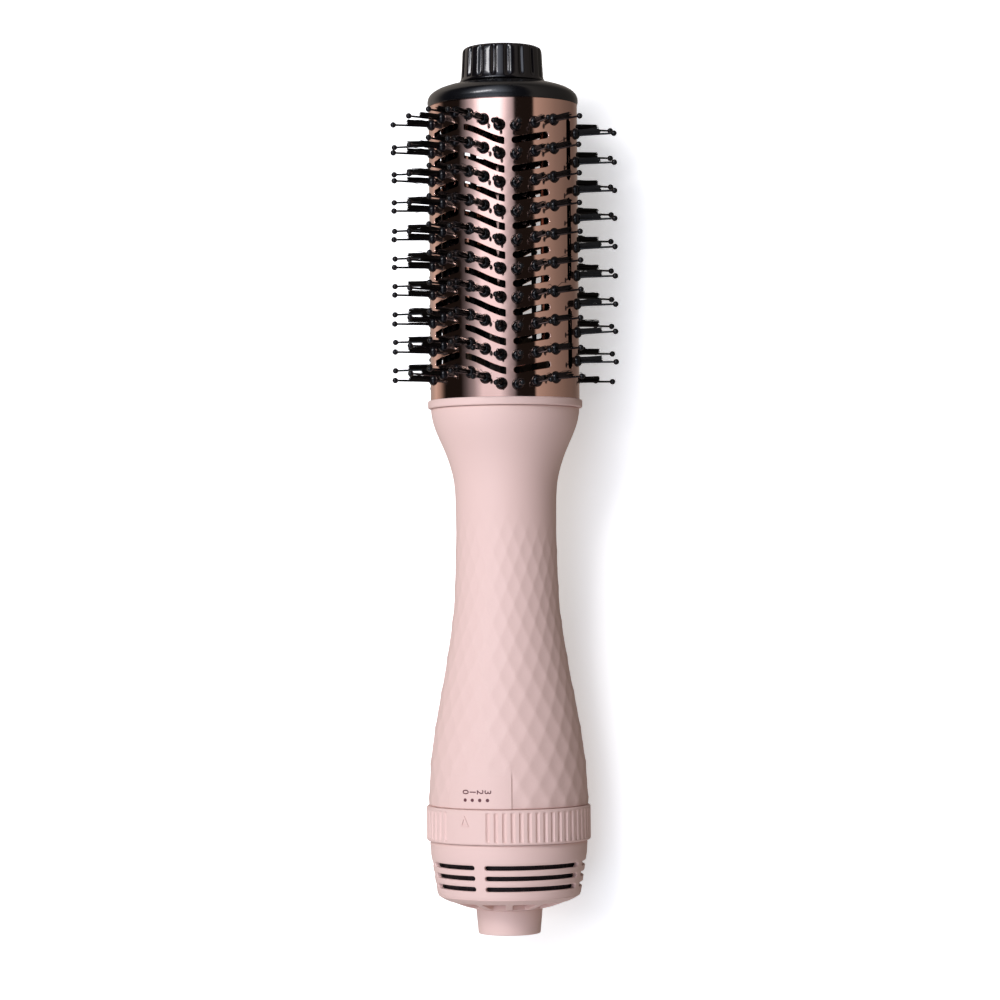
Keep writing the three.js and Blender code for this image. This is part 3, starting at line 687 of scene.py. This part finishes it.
def facet_radius(u, phi):
    """Radius of the grip: diamonds whose facets are flat across, but for the label patch."""
    r = handle_radius(u)
    row = (u - TEXTURE_START) / DIAMOND_HALF_LENGTH
    column = phi / DIAMOND_HALF_ANGLE
    near_row = np.round(row)
    best = np.full(np.shape(r + phi), -1.0)
    x_best = np.zeros_like(best)
    y_best = np.zeros_like(best)
    for shift in (-1, 0, 1):
        centre_row = near_row + shift
        parity = np.mod(centre_row, 2)
        centre_column = 2 * np.round((column - parity) / 2) + parity
        x = column - centre_column
        y = row - centre_row
        inside = 1 - np.abs(x) - np.abs(y)
        better = inside > best
        best = np.where(better, inside, best)
        x_best = np.where(better, x, x_best)
        y_best = np.where(better, y, y_best)
    half = math.radians(DIAMOND_HALF_ANGLE)
    flat = (math.cos(half) + (1 - math.cos(half)) * y_best ** 2) / np.cos(x_best * half)
    depth = r * (1 - flat) * FACET_DEPTH
    wrapped = np.abs(np.mod(phi + 180, 360) - 180)
    top = TEXTURE_TOP + 4 * np.cos(np.radians(wrapped * 2))
    mask = smooth_step((top - u) / 16)
    past_edge = (wrapped - PATCH_HALF_ANGLE) / PATCH_EDGE
    patch = smooth_step(np.maximum(past_edge, (u - PATCH_TOP) / 1.2))
    step = PATCH_STEP * smooth_step(past_edge) * smooth_step((PATCH_TOP + 4 - u) / 14)
    return r - depth * mask * patch - step * (wrapped < 90) * smooth_step((90 - wrapped) / 30)


def shell_sector(u_line, phi_line, outer, inner):
    """A closed shell between two angles; outer(u, phi) and inner(u, phi) are radii."""
    u, phi = np.meshgrid(u_line, phi_line, indexing="ij")
    rows, columns = u.shape
    points = np.concatenate([
        around(u, outer(u, phi), phi).reshape(-1, 3), around(u, inner(u, phi), phi).reshape(-1, 3)])
    count = rows * columns
    faces = []
    for a, b, c, d in ring_faces(rows, columns, closed=False):
        faces.append((a, b, c, d))
        faces.append((a + count, d + count, c + count, b + count))
    for j in range(columns - 1):
        low, high = j, (rows - 1) * columns + j
        faces.append((low, low + count, low + 1 + count, low + 1))
        faces.append((high, high + 1, high + 1 + count, high + count))
    for i in range(rows - 1):
        first, last = i * columns, i * columns + columns - 1
        faces.append((first, first + columns, first + columns + count, first + count))
        faces.append((last, last + count, last + columns + count, last + columns))
    return points, faces


def handle_lines():
    """Levels of the grip's mesh, five to each half of a diamond."""
    step = DIAMOND_HALF_LENGTH / 5
    start = TEXTURE_START - 2 * step
    textured = start + step * np.arange(int((TEXTURE_TOP + 6 - start) / step) + 1)
    lower = [GRIP_START, GRIP_START + 0.1, 52.1]
    upper = np.linspace(textured[-1] + 1.5, 210.8, 24)
    return np.array([*lower, *textured[textured > 52.5], *upper, 211.4, GRIP_END])


def edged(line, edge, limit, extra=()):
    """Mesh angles within a limit, with a close pair at each of two edges."""
    ends = [-edge, -edge + 0.5, edge - 0.5, edge]
    return np.sort(np.concatenate([ends, line[np.abs(line) < limit], extra]))


def make_handle():
    u_line = handle_lines()

    def outer(u, phi):
        ends = np.minimum((u - GRIP_START) / 0.4, (GRIP_END - u) / 0.4)
        return facet_radius(u, phi) - EDGE_DROP * (1 - smooth_step(ends)) - seam_drop(phi)

    def inner(u, phi):
        return handle_radius(u) - WALL

    def seam_drop(phi):
        away = np.abs(np.abs(np.mod(phi + 180, 360) - 180) - SEAM_ANGLE)
        return SEAM_DROP * (1 - smooth_step(away / 0.7))

    fine = DIAMOND_HALF_ANGLE / 5
    patch_edge = PATCH_HALF_ANGLE + PATCH_EDGE
    patch_edges = (-patch_edge, -PATCH_HALF_ANGLE, PATCH_HALF_ANGLE, patch_edge)
    front = edged(np.arange(-113, 113.1, fine) + 0.5, SEAM_ANGLE - SEAM_HALF_GAP, 113, patch_edges)
    front = front[np.concatenate([[True], np.diff(front) > 0.05])]
    shell = shell_sector(u_line, front, outer, inner)
    piece("grip_front", shell, "soft_pink", ["handle_front"], sharp=COVER_SHARP)
    back = 180 + edged(np.arange(-66, 66.1, fine), 180 - (SEAM_ANGLE + SEAM_HALF_GAP), 65)
    shell = shell_sector(u_line, back, outer, inner)
    cover = piece("grip_back", shell, "soft_pink", ["handle_back"], sharp=COVER_SHARP)
    for _, u in SCREW_PLACES:
        cut_round(cover, (u, 0, -12), (u, 0, -40), HEAD_BORE)


def cut_round(obj, start, end, radius):
    """Bores a round hole through a piece, along a straight line."""
    a, b = (Vector(place([p])[0]) for p in (start, end))
    bm = bmesh.new()
    bmesh.ops.create_cone(
        bm, cap_ends=True, segments=40, radius1=radius * MM, radius2=radius * MM, depth=(b - a).length)
    turn = (b - a).to_track_quat("Z", "Y").to_matrix().to_4x4()
    bmesh.ops.transform(bm, matrix=Matrix.Translation((a + b) / 2) @ turn, verts=bm.verts)
    cut_out(obj, bm)
    obj.data.shade_smooth()
    obj.data.set_sharp_from_angle(angle=math.radians(COVER_SHARP))


def cut_parts(obj, parts):
    """Cuts a closed mesh (points, faces) of the tool frame out of a piece."""
    mesh = bpy.data.meshes.new("cutter")
    mesh.from_pydata(place(parts[0]).tolist(), [], parts[1])
    bm = bmesh.new()
    bm.from_mesh(mesh)
    bmesh.ops.recalc_face_normals(bm, faces=bm.faces)
    cut_out(obj, bm)


def cut_out(obj, bm):
    """Takes a closed bmesh out of a piece, and frees it."""
    mesh = bpy.data.meshes.new("cutter")
    bm.to_mesh(mesh)
    bm.free()
    cutter = bpy.data.objects.new("cutter", mesh)
    bpy.context.scene.collection.objects.link(cutter)
    modifier = obj.modifiers.new("cut", "BOOLEAN")
    modifier.operation = "DIFFERENCE"
    modifier.solver = "EXACT"
    modifier.object = cutter
    bpy.context.view_layer.update()
    depsgraph = bpy.context.evaluated_depsgraph_get()
    made = bpy.data.meshes.new_from_object(obj.evaluated_get(depsgraph))
    obj.modifiers.clear()
    obj.data = made
    bpy.data.objects.remove(cutter)


def make_screw_wells():
    """The wells that the two cover screws sit in, and the screws themselves."""
    for name, u in SCREW_PLACES:
        depth = handle_radius(np.array(float(u))) - 0.5
        well = [(-depth, 2.85), (-depth, 4.1), (-13.7, 4.1), (-13.7, 1.7), (-16.5, 1.7), (-16.5, 2.85)]
        piece(f"screw_well_{name}", upright(lathe(rounded(well, 0.15, 3), 40), u), "soft_pink")
        head = [(-18.9, 0, 0), (-18.9, 1.5, 0.5), (-18.2, 2.4, 0.3), (-17.0, 2.4, 0.2), (-17.0, 1.1),
                (-3.2, 1.1, 0.1), (-3.0, 0, 0)]
        screw = upright(lathe(rounded(head, 0.1, 4), 32), u)
        screw = piece(f"cover_screw_{name}", screw, "steel", [f"handle_screw_{name}"])
        for slot_size in ((3.0, 0.7, 1.6), (0.7, 3.0, 1.6)):
            cut_parts(screw, box_parts((u, 0, -18.7), slot_size))


def upright(parts, u):
    """Turns parts made along the tool to point through it, at a place u along it."""
    points, faces = parts
    return np.stack([u + points[:, 1], points[:, 2], points[:, 0]], -1), faces


# ---- dial, marks and inlet
def fluted(line, phi, cut, depth, closed):
    """Turns (place, radius, share) points; cut is the groove at each angle, share its part."""
    radii = line[None, :, 1] - depth * line[None, :, 2] * cut[:, None]
    grid = around(line[None, :, 0], np.maximum(radii, 0), phi[:, None])
    return grid.reshape(-1, 3), ring_faces(len(phi), len(line), True, closed)


def make_dial():
    """Ribs with rounded grooves, but for the smooth zone that carries the pointer."""
    samples = np.array([0, 0.12, 0.23, 0.32, 0.42, 0.5, 0.58, 0.68, 0.77, 0.88])
    groove = np.clip(1 - (np.abs(samples - 0.5) / 0.27) ** 2, 0, 1)
    phi, cut = [], []
    first = DIAL["zone"] + 14.5
    for rib in range(DIAL["ribs"]):
        phi.extend(first + (rib + samples) * DIAL["pitch"])
        cut.extend(groove)
    smooth_from = first + DIAL["ribs"] * DIAL["pitch"]
    smooth_to = first + 360
    for share in np.linspace(0, 1, 16)[:-1]:
        phi.append(smooth_from + (smooth_to - smooth_from) * share)
        cut.append(0)
    phi, cut = np.array(phi), np.array(cut)
    start, end, radius = DIAL["start"], DIAL["end"], DIAL["radius"]
    line = np.array([
        (start, radius - 0.75, 0), (start + 0.12, radius - 0.35, 0), (start + 0.45, radius - 0.06, 0),
        (start + 0.8, radius, 0), (start + 1.1, radius, 0.35), (start + 1.5, radius, 1),
        (start + 4.5, radius, 1), (start + 9, radius, 1), (end - 1.7, radius, 1),
        (end - 1.3, radius, 0.35), (end - 1.0, radius, 0), (end - 0.45, radius - 0.03, 0),
        (end - 0.12, radius - 0.3, 0), (end, radius - 0.7, 0), (end, DIAL["bore"], 0),
        (start, DIAL["bore"], 0),
    ])
    dial = fluted(line, phi, cut, DIAL["depth"], True)
    piece("speed_dial", dial, "soft_pink", ["dial_ring"], "dial", sharp=38)
    make_pointer()


def wrap(flat, base_u, base_phi, radius, lift):
    """Bends flat (x towards the tip, y along the angle) points round the handle."""
    flat = np.asarray(flat, float)
    return around(base_u + flat[:, 0], radius + lift, base_phi + np.degrees(flat[:, 1] / radius))


def wrapped_prism(outline, base_u, base_phi, radius, low, high, hole=None):
    """A flat outline bent round the handle, between two lifts, with or without a hole."""
    count = len(outline)
    sides = [wrap(outline, base_u, base_phi, radius, lift) for lift in (low, high)]
    if hole is None:
        faces = [tuple(range(count)), tuple(range(count, 2 * count))] + ring_faces(2, count)
        return np.concatenate(sides), faces
    sides += [wrap(hole, base_u, base_phi, radius, lift) for lift in (low, high)]
    faces = []
    for i in range(count):
        j = (i + 1) % count
        faces.append((i, j, count + j, count + i))
        faces.append((count + i, count + j, 3 * count + j, 3 * count + i))
        faces.append((2 * count + i, 3 * count + i, 3 * count + j, 2 * count + j))
        faces.append((i, 2 * count + i, 2 * count + j, j))
    return np.concatenate(sides), faces


def make_pointer():
    """A raised outline of a triangle that points at the printed marks."""
    base, height, half = 45.0, 4.3, 2.0
    outer = rounded([(0, -half), (height, 0), (0, half)], 0.3, 4)
    inner = rounded([(0.5, -half + 0.85), (height - 1.15, 0), (0.5, half - 0.85)], 0.15, 4)
    outline = wrapped_prism(outer, base, DIAL["zone"], DIAL["radius"], -0.1, 0.34, inner)
    piece("dial_pointer", outline, "soft_pink", body="dial")


def make_marks():
    """Four printed dots above the dial, each with its number, read from the side."""
    parts = []
    dot_u, digit_u, radius, dot_radius, dot_sides = 55.4, 58.6, 32.36, 0.7, 24
    turns = np.arange(dot_sides) * 2 * math.pi / dot_sides
    circle = [(dot_radius * math.cos(a), dot_radius * math.sin(a)) for a in turns]
    for number in range(4):
        phi = DIAL["zone"] + DIAL_STEP * number
        parts.append(wrapped_prism(circle, dot_u, phi, radius, -0.2, 0.045))
        parts.append(digit_parts(number, digit_u, phi, radius - 0.04))
    piece("speed_marks", join_parts(parts), "ink", slot="soft_pink", merge=0)


def digit_parts(number, base_u, phi, radius):
    """A plain numeral, turned so that it reads along the handle."""
    curve = bpy.data.curves.new(f"digit_{number}", "FONT")
    curve.body = str(number)
    curve.size = 3.9
    curve.resolution_u = 4
    curve.align_x = "CENTER"
    curve.align_y = "CENTER"
    text = bpy.data.objects.new(f"digit_{number}", curve)
    bpy.context.scene.collection.objects.link(text)
    bpy.context.view_layer.update()
    mesh = bpy.data.meshes.new_from_object(text.evaluated_get(bpy.context.evaluated_depsgraph_get()))
    bm = bmesh.new()
    bm.from_mesh(mesh)
    bmesh.ops.remove_doubles(bm, verts=bm.verts, dist=0.001)
    made = bmesh.ops.extrude_face_region(bm, geom=list(bm.faces))
    for item in made["geom"]:
        if isinstance(item, bmesh.types.BMVert):
            item.co.z += 0.24
    points = np.array([v.co for v in bm.verts])
    bm.verts.index_update()
    faces = [tuple(v.index for v in face.verts) for face in bm.faces]
    bm.free()
    bpy.data.objects.remove(text)
    lifts = radius - 0.2 + points[:, 2]
    return around(base_u - points[:, 0], lifts, phi + np.degrees(points[:, 1] / radius)), faces


INLET_START = 15.62
INLET_END = 37.45
INLET_LINE = [
    (INLET_START, 28.75), (20.2, 29.6), (24.1, 30.2), (27.7, 30.7), (32.2, 31.45), (INLET_END, 31.8),
]
INLET_WEBS = (0, 90, 180, 235, 305, 360)
INLET_ROWS = (20.0, 24.3, 28.5)


def make_inlet():
    """The slotted inlet shell; its flat pattern starts on a web."""
    nominal = 30.0
    width = 2 * math.pi * nominal
    per_degree = width / 360
    line = np.array(INLET_LINE)
    half_web, half_slot = 4.0, 0.95

    def surface(s, v, depth):
        r = np.interp(v, line[:, 0], line[:, 1]) - depth
        ends = np.minimum((v - INLET_START) / 0.5, (INLET_END - v) / 0.3)
        r = r - 0.3 * (1 - smooth_step(ends)) * (depth < 0.01)
        return around(v, r, s / per_degree)

    holes = []
    for middle in INLET_ROWS:
        for low, high in zip(INLET_WEBS, INLET_WEBS[1:]):
            start = (low + half_web) * per_degree + half_slot
            end = (high - half_web) * per_degree - half_slot
            holes.append(stadium((start, middle), (end, middle), half_slot))
    shell = perforated(width, INLET_START, INLET_END, holes, surface, 1.9, 0.22, (1.3, 0.75))
    piece("inlet_shell", shell, "soft_pink", ["inlet_housing"], sharp=40)
    sleeve = rounded([(36.0, 28.4), (57.8, 28.4), (57.8, 29.9), (36.0, 29.9)], 0.2, 3)
    piece("dial_sleeve", lathe(sleeve), "soft_pink")


TAIL_LINE = [
    (10.2, 11.6), (10.15, 14.0), (10.4, 15.2), (11.2, 18.6), (12.2, 21.6), (13.1, 24.0), (14.2, 26.5),
    (15.0, 27.8), (15.45, 28.4), (15.58, 28.6),
]
TAIL_WINDOWS = 12
WINDOW_RADII = (15.2, 24.5)
HALF_SPOKE = 1.3


def make_tail():
    """The domed end with its ring of radial windows over a shallow floor."""
    line = np.array(TAIL_LINE)
    lengths = np.concatenate([[0], np.cumsum(np.linalg.norm(np.diff(line, axis=0), axis=1))])
    nominal = 20.0
    width = 2 * math.pi * nominal
    per_degree = width / 360
    first_spoke = 22.5

    def at(v):
        return np.interp(v, lengths, line[:, 0]), np.interp(v, lengths, line[:, 1])

    def surface(s, v, depth):
        u, r = at(v)
        u_ahead, r_ahead = at(np.minimum(v + 0.3, lengths[-1]))
        u_behind, r_behind = at(np.maximum(v - 0.3, 0))
        along_u, along_r = u_ahead - u_behind, r_ahead - r_behind
        size = np.hypot(along_u, along_r)
        return around(u + depth * along_r / size, r - depth * along_u / size, first_spoke + s / per_degree)

    holes = []
    low, high = (float(np.interp(r, line[:, 1], lengths)) for r in WINDOW_RADII)
    half_low, half_high = (
        (math.pi * r / TAIL_WINDOWS - HALF_SPOKE) * nominal / r for r in WINDOW_RADII)
    pitch = 360 / TAIL_WINDOWS
    for i in range(TAIL_WINDOWS):
        middle = (pitch / 2 + pitch * i) * per_degree
        corners = [(middle - half_low, low), (middle + half_low, low), (middle + half_high, high),
                   (middle - half_high, high)]
        holes.append(divided(rounded(corners, 0.9, 5)))
    shell = perforated(width, 0, float(lengths[-1]), holes, surface, 2.0, 0.2, (0.9, 0.7))
    piece("tail_shell", shell, "soft_pink", ["tail_cover"], sharp=40)
    floor = [(12.3, 11.7), (12.9, 17.5), (14.3, 22.0), (15.2, 25.0), (15.5, 24.8), (14.7, 22.0),
             (13.3, 17.5), (12.7, 11.7)]
    piece("tail_inner_floor", lathe(rounded(floor, 0.3, 3)), "soft_pink")


def make_gland():
    line = [(0.0, 4.2, 0.4), (0.0, 12.5, 0.5), (10.05, 13.4, 0.2), (10.05, 11.0, 0.2), (12.7, 11.0, 0.1),
            (12.7, 9.0, 0.1), (15.2, 9.0, 0.2), (15.2, 4.2, 0.3)]
    piece("gland_body", lathe(rounded(line, 0.3)), "soft_pink", ["cord_gland"], "cord_swivel")


def make_collar():
    line = [(211.75, 24.4), (211.75, 31.0, 0.5), (212.3, 31.3, 0.3), (214.6, 31.3, 0.5),
            (215.0, 30.9, 0.3), (215.0, 24.4)]
    piece("collar", lathe(rounded(line, 0.3), 128), "soft_pink", ["collar_ring"])


# ---- barrel and bristles
def oval_table(count=1440):
    t = np.linspace(0, 360, count + 1)
    x, y = BARREL["a"] * np.sin(np.radians(t)), BARREL["b"] * np.cos(np.radians(t))
    lengths = np.concatenate([[0], np.cumsum(np.hypot(np.diff(x), np.diff(y)))])
    return t, lengths


OVAL_T, OVAL_S = oval_table()
OVAL_ROUND = float(OVAL_S[-1])


def arc_of(t):
    """Length round the barrel from the middle of its front face to an angle t."""
    turns = np.floor(np.asarray(t, float) / 360)
    return np.interp(np.asarray(t, float) - 360 * turns, OVAL_T, OVAL_S) + OVAL_ROUND * turns


def angle_of(s):
    turns = np.floor(np.asarray(s, float) / OVAL_ROUND)
    return np.interp(np.asarray(s, float) - OVAL_ROUND * turns, OVAL_S, OVAL_T) + 360 * turns


def oval(t, offset=0.0):
    """Barrel section at angle t: point moved out by an offset, and its normal, in (y, z)."""
    a, b = BARREL["a"], BARREL["b"]
    t = np.radians(t)
    normal = unit(np.stack([b * np.sin(t), a * np.cos(t)], -1))
    point = np.stack([a * np.sin(t), b * np.cos(t)], -1) + np.asarray(offset)[..., None] * normal
    turn = math.radians(BARREL["turn"])

    def spin(p):
        side = p[..., 0] * math.cos(turn) + p[..., 1] * math.sin(turn)
        ahead = -p[..., 0] * math.sin(turn) + p[..., 1] * math.cos(turn)
        return np.stack([-side, ahead], -1)

    return spin(point), spin(normal)


def row_u(row, rise):
    return ROWS["first"] + ROWS["pitch"] * row + rise


def pin_places():
    """Strip name to its list of (t, u)."""
    places = {}
    for face, side in ((0, "front"), (180, "back")):
        for name, panel in PANELS.items():
            places[f"{side}_{name}"] = [
                (face + t, row_u(row, rise)) for t, rise in zip(panel["columns"], panel["rises"])
                for row in range(ROWS["count"])]
    for name, edge in EDGE_COLUMNS.items():
        places[name] = [(edge["t"], row_u(row, edge["rise"])) for row in range(EDGE_PINS)]
    return places


def rise_at(panel, t):
    """How far a row of a panel has climbed at an angle t."""
    columns, rises = panel["columns"], panel["rises"]
    slope = (rises[2] - rises[0]) / (columns[2] - columns[0])
    return rises[0] + slope * (t - columns[0])


def slot_ends(face, panel, row):
    """Ends of the air slot above a row, on the line midway between two rows."""
    return [(float(arc_of(face + t)), row_u(row + 0.5, rise_at(panel, t))) for t in panel["slot"]]


def make_barrel():
    seam = arc_of(SEAM_AT)

    def surface(s, v, depth):
        point, normal = oval(angle_of(s + seam), -depth * np.ones_like(s))
        return np.stack([v, point[:, 0], point[:, 1]], -1)

    def local(s):
        return (s - seam) % OVAL_ROUND

    holes = []
    for places in pin_places().values():
        for t, u in places:
            centre = (float(local(arc_of(t))), u)
            holes.append(stadium(centre, centre, CUP_RADIUS + 0.12, 9))
    for face in (0, 180):
        for name, panel in PANELS.items():
            for row in range(ROWS["count"] - 1):
                (s0, u0), (s1, u1) = slot_ends(face, panel, row)
                start, end = (local(s0), u0), (local(s1), u1)
                if name == "middle":
                    holes.append(cut_slot(start, end, 1.2, 1.42))
                else:
                    holes.append(stadium(start, end, 1.35, 7))
        for t in (EDGE_SLOTS["angle"], 180 - EDGE_SLOTS["angle"]):
            for low, high in EDGE_SLOTS["spans"]:
                s = float(local(arc_of(face + t)))
                holes.append(stadium((s, low + 0.9), (s, high - 0.9), EDGE_SLOTS["half_width"], 6))
    low, high, wall = BARREL["start"], BARREL["end"], BARREL["wall"]
    sheet = perforated(OVAL_ROUND, low, high, holes, surface, wall, 0.09, (1.25, 1.6))
    piece("barrel_sheet", sheet, "rose_metal", ["barrel"], sharp=30)


def spun(profile, segments, centre, normal, tangent):
    """A small turned part on the barrel: profile of (height, radius) along the normal."""
    other = np.cross(normal, tangent)
    angle = np.arange(segments) * 2 * math.pi / segments
    outward = np.cos(angle)[:, None] * tangent + np.sin(angle)[:, None] * other
    rings = [centre + normal * height + radius * outward for height, radius in profile]
    return np.concatenate(rings), capped(len(profile), segments)


CUP_PROFILE = [
    (-2.9, 2.2), (-1.5, 2.5), (-0.9, 2.55), (-0.88, CUP_RADIUS), (0.35, CUP_RADIUS), (0.75, 2.2),
    (1.15, 1.98), (1.5, 1.65), (1.7, 1.3), (1.74, 1.0), (1.5, 0.85), (1.2, 0.8),
]
PIN_PROFILE = [(0.6, 0.62), (2.4, 0.56), (3.4, 0.47), (PIN_LENGTH - BALL_RADIUS * 0.85, 0.4)]


def ball_profile():
    angles = np.linspace(20, 178, 8)
    return [(PIN_LENGTH - BALL_RADIUS * math.cos(math.radians(a)), BALL_RADIUS * math.sin(math.radians(a)))
            for a in angles]


def hair(base, tip, bend, thickness):
    """One filament: three-sided, with a slight bend."""
    along = tip - base
    side = np.cross(along, (0.3, 0.5, 0.8))
    side /= np.linalg.norm(side)
    other = np.cross(along, side)
    other /= np.linalg.norm(other)
    rings = []
    for share in (0.0, 0.5, 1.0):
        middle = base + along * share + bend * 4 * share * (1 - share)
        for k in range(3):
            a = 2 * math.pi * k / 3
            outward = math.cos(a) * side + math.sin(a) * other
            rings.append(middle + thickness * (1 - 0.25 * share) * outward)
    return np.array(rings), capped(3, 3)


def tuft(centre, normal, along, across):
    """A bundle of filaments beside the pin, with a few that stray."""
    parts = []
    for _ in range(TUFT_HAIRS):
        angle, spread = rng.uniform(0, 2 * math.pi), math.sqrt(rng.uniform(0, 1))
        x, y = spread * math.cos(angle), spread * math.sin(angle)
        base = centre + along * (0.6 + 1.0 * x) + across * 0.95 * y + normal * 0.9
        stray = 1.0 if rng.uniform() > 0.06 else rng.uniform(2.0, 5.5)
        flare_x = 0.15 * x * stray + rng.normal(0, 0.1) * stray
        flare_y = 0.2 * y * stray + rng.normal(0, 0.12) * stray
        length = TUFT_LENGTH * (1 - 0.07 * rng.uniform() - (0.25 * rng.uniform() if stray > 1 else 0))
        tip = base + normal * (length - 0.9) + along * flare_x + across * flare_y
        bend = along * rng.normal(0, 0.07) * stray + across * rng.normal(0, 0.07) * stray
        parts.append(hair(base, tip, bend, HAIR_RADIUS))
    return parts


def sweep_bar(points, normals, wide, half_thickness):
    """A flat bar along a line: wide is half its width, as a vector."""
    rings = []
    for point, normal in zip(points, normals):
        for su, sn in ((-1, -1), (1, -1), (1, 1), (-1, 1)):
            rings.append(point + wide * su + normal * half_thickness * sn)
    return np.array(rings), capped(len(points), 4)


def on_barrel(t, u, offset):
    point, normal = oval(np.atleast_1d(float(t)), np.array([offset]))
    return np.array((u, point[0, 0], point[0, 1])), np.array((0, normal[0, 0], normal[0, 1]))


def rail_parts(name, places):
    """The frame that carries a strip's cups inside the barrel wall."""
    parts = []
    for t in sorted({t for t, _ in places}):
        low, normal = on_barrel(t, 217.6, RAIL_DEPTH)
        high, _ = on_barrel(t, 331.4, RAIL_DEPTH)
        across = np.cross(normal, (1, 0, 0))
        parts.append(sweep_bar((low, high), (normal, normal), across * 0.8, 0.4))
    side = name.split("_")[-1]
    if side in PANELS:
        panel = PANELS[side]
        face = 0 if name.startswith("front") else 180
        line = np.linspace(panel["columns"][0] - 3, panel["columns"][2] + 3, 9)
        for row in range(ROWS["count"]):
            bar = [on_barrel(face + t, row_u(row, rise_at(panel, t)), RAIL_DEPTH) for t in line]
            centres, normals = zip(*bar)
            parts.append(sweep_bar(centres, normals, np.array((2.4, 0, 0)), 0.4))
    return parts


def make_strips():
    """Each strip: its rail with cups, ball-tipped pins, and a tuft beside each pin."""
    ball = ball_profile()
    along = np.array((1.0, 0, 0))
    for name, places in pin_places().items():
        hard, soft = [], []
        for t, u in places:
            centre, normal = on_barrel(t, u, 0)
            across = np.cross(normal, along)
            hard.append(spun(CUP_PROFILE, 16, centre, normal, along))
            lean = normal + along * rng.normal(0, 0.012) + across * rng.normal(0, 0.014)
            lean /= np.linalg.norm(lean)
            foot = centre - along * 0.5
            side = np.cross(lean, across)
            hard.append(spun(PIN_PROFILE, 8, foot, lean, side))
            hard.append(spun(ball, 12, foot, lean, side))
            soft.extend(tuft(centre, normal, along, across))
        node_name = f"bristle_strip_{name}"
        piece(f"pins_{name}", join_parts(hard), "gloss_black", [node_name], sharp=40, merge=0)
        # The rails wear painted shade, so that the slots over them read dark.
        rail = join_parts(rail_parts(name, places))
        piece(f"rail_{name}", rail, "rail_painted_shade", slot="gloss_black", sharp=40, merge=0)
        piece(f"tufts_{name}", join_parts(soft), "bristle", slot="gloss_black", sharp=60, merge=0)


# ---- end cap and tip
CAP_NARROWING = 0.92
FLUTE_DEPTH = 1.0


def oval_cap(grid):
    """Narrows a round grid across the barrel's faces."""
    turn = math.radians(BARREL["turn"])
    y, z = grid[..., 1], grid[..., 2]
    ahead = z * math.cos(turn) - y * math.sin(turn)
    side = y * math.cos(turn) + z * math.sin(turn)
    ahead = ahead * CAP_NARROWING
    grid[..., 2] = ahead * math.cos(turn) + side * math.sin(turn)
    grid[..., 1] = side * math.cos(turn) - ahead * math.sin(turn)
    return grid


def make_cap():
    line = [(334.45, 0, 0), (334.45, 30.5, 0.35), (336.6, 30.9, 2.0), (339.2, 30.0, 2.0),
            (341.4, 26.8, 2.2), (342.9, 22.0, 1.5), (343.6, 18.2, 0.6), (343.7, 0, 0)]
    dome = lathe(rounded(line, 0.4, 7), 128, oval_cap)
    piece("cap_dome", dome, "satin_black", ["end_cap"], sharp=40)


def make_tip():
    """The cool tip: a flared foot under eighteen rounded ribs with a chamfered top."""
    per_flute = 12
    phi = np.arange(TIP_FLUTES * per_flute) * 360 / (TIP_FLUTES * per_flute)
    within = (phi % (360 / TIP_FLUTES)) / (360 / TIP_FLUTES)
    groove = np.clip(1 - (np.abs(within - 0.5) / 0.2) ** 2, 0, 1)
    line = np.array([
        (343.85, 0, 0), (343.85, 17.1, 0), (344.05, 17.4, 0), (344.4, 17.45, 0), (344.9, 17.15, 0),
        (345.4, 16.9, 0.25), (346.1, 16.75, 0.85), (347, 16.65, 1), (351, 16.4, 1), (355.3, 16.2, 1),
        (356.6, 16.1, 0.9), (357.2, 15.95, 0.6), (357.7, 15.6, 0.3), (358.05, 15.1, 0.1),
        (358.25, 14.5, 0), (358.3, 13.8, 0), (357.95, 13.2, 0), (357.9, 12.6, 0), (357.95, 0, 0),
    ])
    tip = fluted(line, phi, groove, FLUTE_DEPTH, False)
    piece("cool_tip", tip, "tip_black", ["tip_knob"], slot="gloss_black", sharp=50)


# ---- build
add_camera()
add_world()
add_area("key_softbox", -66, -0.12, 190, 1.9, (0.9, 0.9), 8, (1, 0.97, 0.93))
add_area("tip_light", -34, 0.42, 330, 1.5, (0.7, 0.28), 9.5, (1, 0.98, 0.98), True)
add_area("low_fill", 20, -2.0, 200, 1.9, (0.8, 0.8), 4.5, (1, 0.94, 0.92))
add_floor()
bpy.context.scene.view_settings.view_transform = "Standard"
dress_cad_nodes()
make_handle()
make_screw_wells()
make_dial()
make_marks()
make_inlet()
make_tail()
make_gland()
make_collar()
make_barrel()
make_strips()
make_cap()
make_tip()
